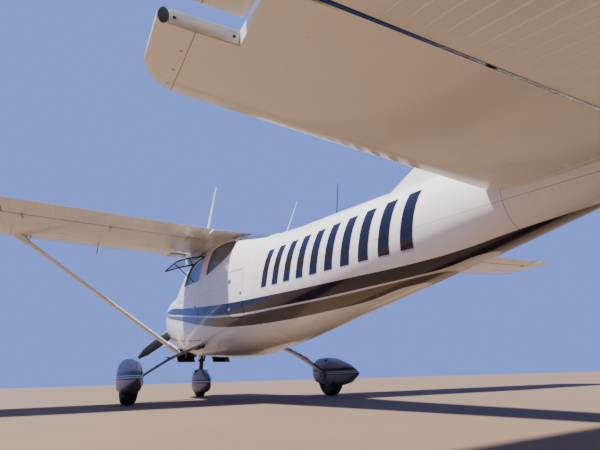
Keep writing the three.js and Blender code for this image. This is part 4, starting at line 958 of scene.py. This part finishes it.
add_piece("dial_rims", dials, cast_alloy, "airframe")
add_piece("dial_faces", faces, satin_black, "airframe")
add_piece("dial_marks", marks, ivory.done(0.1), "airframe")
add_piece("cabin_grips", grips, seal_rubber, "airframe")

# Doors and hatches
# Hinges with exposed knuckles, lever handles and locks, the open pane's piano hinge with its stay arm, and
# the baggage door's hinges and latch.
for side, sign in SIDES:
    fittings, hardware = bmesh.new(), bmesh.new()
    out = Vector((0, sign, 0))
    for height in (1.02, 1.40):
        place, normal = on_skin(hull_skin, stand(0.64, sign * 1.2, height), -out)
        block(fittings, facing_out(place + normal * 0.002, normal), (0.06, 0.034, 0.005), 0.0015)
        tube(fittings, [place + normal * 0.004 + AFT * -0.032 + UPWARD * z for z in (-0.02, 0.02)], 0.005, 10)
    place, normal = on_skin(hull_skin, stand(1.44, sign * 1.2, 1.235), -out)
    drum(hardware, facing_out(place, normal), 0.022, 0.010, sides=24, bevel=0.002)
    lever = [place + normal * 0.012, place + normal * 0.014 - AFT * 0.06, place + normal * 0.010 - AFT * 0.11]
    tube(hardware, lever, [0.009, 0.008, 0.006], 12)
    place, normal = on_skin(hull_skin, stand(1.47, sign * 1.2, 1.165), -out)
    drum(hardware, facing_out(place, normal), 0.009, 0.006, sides=18, bevel=0.001)
    add_piece("door_hinges_" + side, fittings, hull_paint, "door_" + side)
    add_piece("door_handle_" + side, hardware, worn_steel, "door_" + side)
hatch = bmesh.new()
for height in (1.13, 1.41):
    place, normal = on_skin(hull_skin, stand(2.455, 1.2, height), (0, -1, 0))
    block(hatch, facing_out(place + normal * 0.002, normal), (0.05, 0.03, 0.005), 0.0015)
    tube(hatch, [place + normal * 0.003 - AFT * 0.028 + UPWARD * z for z in (-0.018, 0.018)], 0.005, 10)
place, normal = on_skin(hull_skin, stand(2.70, 1.2, 1.27), (0, -1, 0))
drum(hatch, facing_out(place, normal), 0.016, 0.008, sides=24, bevel=0.002)
block(hatch, facing_out(place + normal * 0.006, normal), (0.026, 0.006, 0.004), 0.001)
add_piece("baggage_fittings", hatch, worn_steel, "baggage_door")
stay = bmesh.new()
low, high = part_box("door_glass_left")
tube(stay, [Vector((x, 0.502, high.z + 0.010)) for x in (low.x + 0.03, high.x - 0.03)], 0.007, 12)
foot = Vector((low.x + 0.20, high.y - 0.012, low.z + 0.012))
sill = on_skin(hull_skin, Vector((foot.x, 1.3, low.z - 0.20)), (0, -1, 0))[0]
tube(stay, [foot, sill.lerp(foot, 0.02)], 0.0055, 8)
add_piece("pane_stay", stay, satin_black, "door_left")

# Cowling and engine bay
# Screw rows round the cowling's edges, cooling baffles with finned cylinders behind the inlets, the exhaust
# stack, and a push rod to each cowl flap. A plate with fasteners holds the spinner.
screws, baffles, cylinders = bmesh.new(), bmesh.new(), bmesh.new()
for side, sign in SIDES:
    for i in range(17):
        height = 0.86 + 0.045 * i
        for station in (-0.022, -0.86):
            hit = hull_skin.ray_cast(stand(station, sign * 1.0, height), Vector((0, -sign, 0)))
            if hit[0] is not None and (station > -0.5 or 1.10 < height < 1.5):
                head(screws, facing_out(hit[0], hit[1]), 0.0055, 0.0016)
    for i in range(13):
        hit = hull_skin.ray_cast(stand(-0.82 + 0.065 * i, sign * 1.0, 1.235), Vector((0, -sign, 0)))
        head(screws, facing_out(hit[0], hit[1]), 0.0055, 0.0016)
    block(baffles, facing_out(stand(-0.755, sign * 0.225, 1.345), AFT), (0.25, 0.24, 0.004))
    for k in range(7):
        at = facing_out(stand(-0.80 - 0.004 * (k % 2), sign * (0.16 + 0.022 * k), 1.345), (0, 1, 0))
        drum(cylinders, at, 0.062, 0.006, sides=28)
    drum(cylinders, facing_out(stand(-0.80, sign * 0.225, 1.345), (0, 1, 0)), 0.048, 0.17, sides=28)
    rod = bmesh.new()
    low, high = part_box("cowl_flap_" + side)
    foot, top = (low.x + 0.06, sign * 0.265, low.z + 0.035), (low.x + 0.03, sign * 0.265, high.z - 0.02)
    tube(rod, [foot, top], 0.005, 8)
    block(rod, Matrix.Translation((low.x + 0.06, sign * 0.265, low.z + 0.032)), (0.03, 0.03, 0.012), 0.002, 1)
    add_piece("cowl_flap_rod_" + side, rod, worn_steel, "cowl_flap_" + side)
add_piece("cowl_screws", screws, worn_steel, "airframe")
add_piece("cowl_baffles", baffles, satin_black, "airframe")
add_piece("engine_cylinders", cylinders, cast_metal, "airframe")
solid = bmesh.new()
stack = [(-0.42, 0.90), (-0.40, 0.80), (-0.33, 0.735), (-0.24, 0.69)]
tube(solid, [stand(station, 0.10, height) for station, height in stack], 0.027, 20)
add_piece("exhaust_stack", solid, worn_steel, "airframe")
solid = bmesh.new()
plate_ring = [(0.1665, 0.0), (0.1665, 0.012), (0.150, 0.012), (0.150, 0.0)]
spun(solid, plate_ring, facing_out(stand(-0.955, 0, 1.317), -AFT), 48)
for i in range(12):
    turn = math.tau * (i + 0.5) / 12
    spoke = Vector((0, math.cos(turn), math.sin(turn)))
    head(solid, facing_out(stand(-0.962, 0, 1.317) + spoke * 0.1655, spoke), 0.0045, 0.002)
add_piece("spinner_plate", solid, worn_steel, "propeller")

# Wing fittings
# Strut cuffs, flap and aileron brackets, round inspection covers, a plate at each root, fuel caps, a vent,
# tip lights in tinted covers, and wicks on the ailerons' trailing edges.
paint_bits, metal_bits, dark_bits = bmesh.new(), bmesh.new(), bmesh.new()
lens = {}
for side, sign in SIDES:
    foot, tip = stand(0.532, sign * 0.515, 0.728), stand(0.985, sign * 2.54, 2.033)
    for start, end, grow in ((0.030, 0.085, 1.22), (0.925, 0.985, 1.25)):
        run = [foot.lerp(tip, start + (end - start) * k / 4) for k in range(5)]
        flare = [0.030 * grow * (1, 1.0, 1.03, 1.08, 1.16)[k if start > 0.5 else 4 - k] for k in range(5)]
        tube(paint_bits, run, flare, 20, flat=2.15, across=AFT)
    for y in (0.80, 1.60, 2.40):
        place, normal = on_skin(wing_skin, stand(1.86, sign * y, 1.4), UPWARD)
        block(metal_bits, facing_out(place + normal * 0.012, normal), (0.17, 0.006, 0.034), 0.003)
        drum(metal_bits, facing_out(place + normal * 0.02 + AFT * 0.07, (0, 1, 0)), 0.007, 0.02, sides=12)
    for y in (2.72, 3.85, 4.98):
        place, normal = on_skin(wing_skin, stand(1.66, sign * y, 1.4), UPWARD)
        block(metal_bits, facing_out(place + normal * 0.006, normal), (0.06, 0.005, 0.02), 0.002)
    for y in (1.15, 2.05, 3.10, 3.95, 4.75):
        place, normal = on_skin(wing_skin, stand(1.33, sign * y, 1.4), UPWARD)
        drum(paint_bits, facing_out(place, normal), 0.062, 0.003, sides=32, bevel=0.001)
        for k in range(8):
            turn = math.tau * k / 8
            ring = Matrix.Translation((0.053 * math.cos(turn), 0.053 * math.sin(turn), 0.0015))
            head(metal_bits, facing_out(place, normal) @ ring, 0.0035, 0.0012)
    place, normal = on_skin(wing_skin, stand(0.93, sign * 0.72, 1.4), UPWARD)
    plate = facing_out(place + normal * 0.0015, normal)
    block(metal_bits, plate, (0.34, 0.20, 0.003), 0.001, 1)
    for u in (-0.15, -0.09, -0.03, 0.03, 0.09, 0.15):
        for v in (-0.085, 0.085):
            head(dark_bits, plate @ Matrix.Translation((u, v, 0.0018)), 0.005, 0.0016)
    place, normal = on_skin(wing_skin, stand(1.25, sign * 0.70, 1.4), UPWARD)
    drum(dark_bits, facing_out(place, normal), 0.022, 0.003, sides=24)
    place, normal = on_skin(wing_skin, stand(1.05, sign * 1.20, 2.6), -UPWARD)
    drum(metal_bits, facing_out(place, normal), 0.045, 0.008, sides=32, bevel=0.002)
    block(metal_bits, facing_out(place + normal * 0.006, normal), (0.05, 0.010, 0.006), 0.002)
    light = bmesh.new()
    middle = stand(1.02, sign * 5.455, 2.171)
    bmesh.ops.create_uvsphere(light, u_segments=20, v_segments=12, radius=1,
                              matrix=facing_out(middle, UPWARD) @ Matrix.Diagonal((0.045, 0.028, 0.020, 1)))
    lens[side] = light
    wicks = bmesh.new()
    for i in range(3):
        y = 3.3 + 0.8 * i
        edge = skin("aileron_" + side).ray_cast(stand(2.6, sign * y, 2.02 + 0.035 * (y - 0.565)), -AFT)[0]
        if edge:
            tube(wicks, [edge - AFT * 0.01, edge + AFT * 0.10], 0.0022, 6)
    add_piece("wicks_" + side, wicks, satin_black, "aileron_" + side)
place, normal = on_skin(wing_skin, stand(1.12, 2.36, 1.4), UPWARD)
tube(metal_bits, [place, place + normal * 0.03, place + normal * 0.045 + AFT * 0.03], 0.007, 10)
add_piece("strut_cuffs", paint_bits, strut_paint, "airframe")
add_piece("wing_metal", metal_bits, bare_plate, "airframe")
add_piece("wing_dark", dark_bits, satin_black, "airframe")
for side, colour in (("left", (0.65, 0.02, 0.02)), ("right", (0.02, 0.50, 0.12))):
    lamp = Finish("tip_lens_" + side, colour, 0.12, **{"Coat Weight": 0.8})
    lamp.height = lamp.noise(200.0, 2.0)
    lamp.shade((lamp.y % 0.006).line(0.003, 0.0008), 0.7)
    add_piece("tip_light_" + side, lens[side], lamp.done(0.05), "airframe")

# Tail fittings
# Elevator hinge brackets, the trim tab's edges and rod, a tail light on the rudder, and a fairing strip round
# each stabilizer's root. The antennas stand on small round bases.
hinges, strips = bmesh.new(), bmesh.new()
for side, sign in SIDES:
    for y in (0.32, 0.95, 1.54):
        at = facing_out(stand(6.118, sign * y, 1.445), UPWARD)
        block(hinges, at, (0.05, 0.012, 0.034), 0.003)
        drum(hinges, facing_out(stand(6.118, sign * y, 1.445), (0, 1, 0)), 0.008, 0.03, sides=12)
    run = []
    for i in range(9):
        station = 5.33 + 0.078 * i
        hit = tail_skin.ray_cast(stand(station, sign * 0.175, 1.0), UPWARD)
        if hit[0]:
            run.append(hit[0])
    tube(strips, run, 0.008, 8, flat=0.4, across=UPWARD)
add_piece("tail_hinges", hinges, worn_steel, "airframe")
add_piece("root_strips", strips, tail_paint, "airframe")
rod = bmesh.new()
elevator_skin = skin("elevator_right")
for y in (-0.34, -1.06):
    place, normal = on_skin(elevator_skin, stand(6.40, y, 0.9), UPWARD)
    tube(rod, [place, place + AFT * 0.13 - UPWARD * 0.036], 0.0025, 6)
place, normal = on_skin(elevator_skin, stand(6.33, -0.70, 0.9), UPWARD)
bend, end = place + normal * 0.026 + AFT * 0.04, place + normal * 0.02 + AFT * 0.15 - UPWARD * 0.03
tube(rod, [place + normal * 0.004, bend, end], 0.005, 8)
block(rod, facing_out(place + normal * 0.012, normal), (0.03, 0.012, 0.026), 0.003)
add_piece("trim_rod", rod, worn_steel, "elevator")
light = bmesh.new()
hit = rudder_skin.ray_cast(Vector((-5.0, 0, 1.02)), Vector((1, 0, 0)))
at = Matrix.Translation(hit[0] + Vector((0.004, 0, 0))) @ Matrix.Diagonal((0.014, 0.012, 0.024, 1))
bmesh.ops.create_uvsphere(light, u_segments=16, v_segments=10, radius=1, matrix=at)
add_piece("tail_light", light, ivory.material, "rudder")
bases = bmesh.new()
for station, y in ((1.535, 0.500), (2.985, 0.100), (3.752, 0)):
    hit = hull_skin.ray_cast(stand(station, y, 2.6), -UPWARD)
    drum(bases, facing_out(hit[0], hit[1]), 0.030, 0.012, 0.018, sides=24, bevel=0.002)
    for turn in (0, math.pi):
        screw = Matrix.Translation((0.024 * math.cos(turn), 0, 0.005))
        head(bases, facing_out(hit[0], hit[1]) @ screw, 0.004, 0.002)
add_piece("antenna_bases", bases, satin_black, "airframe")

bpy.context.view_layer.update()
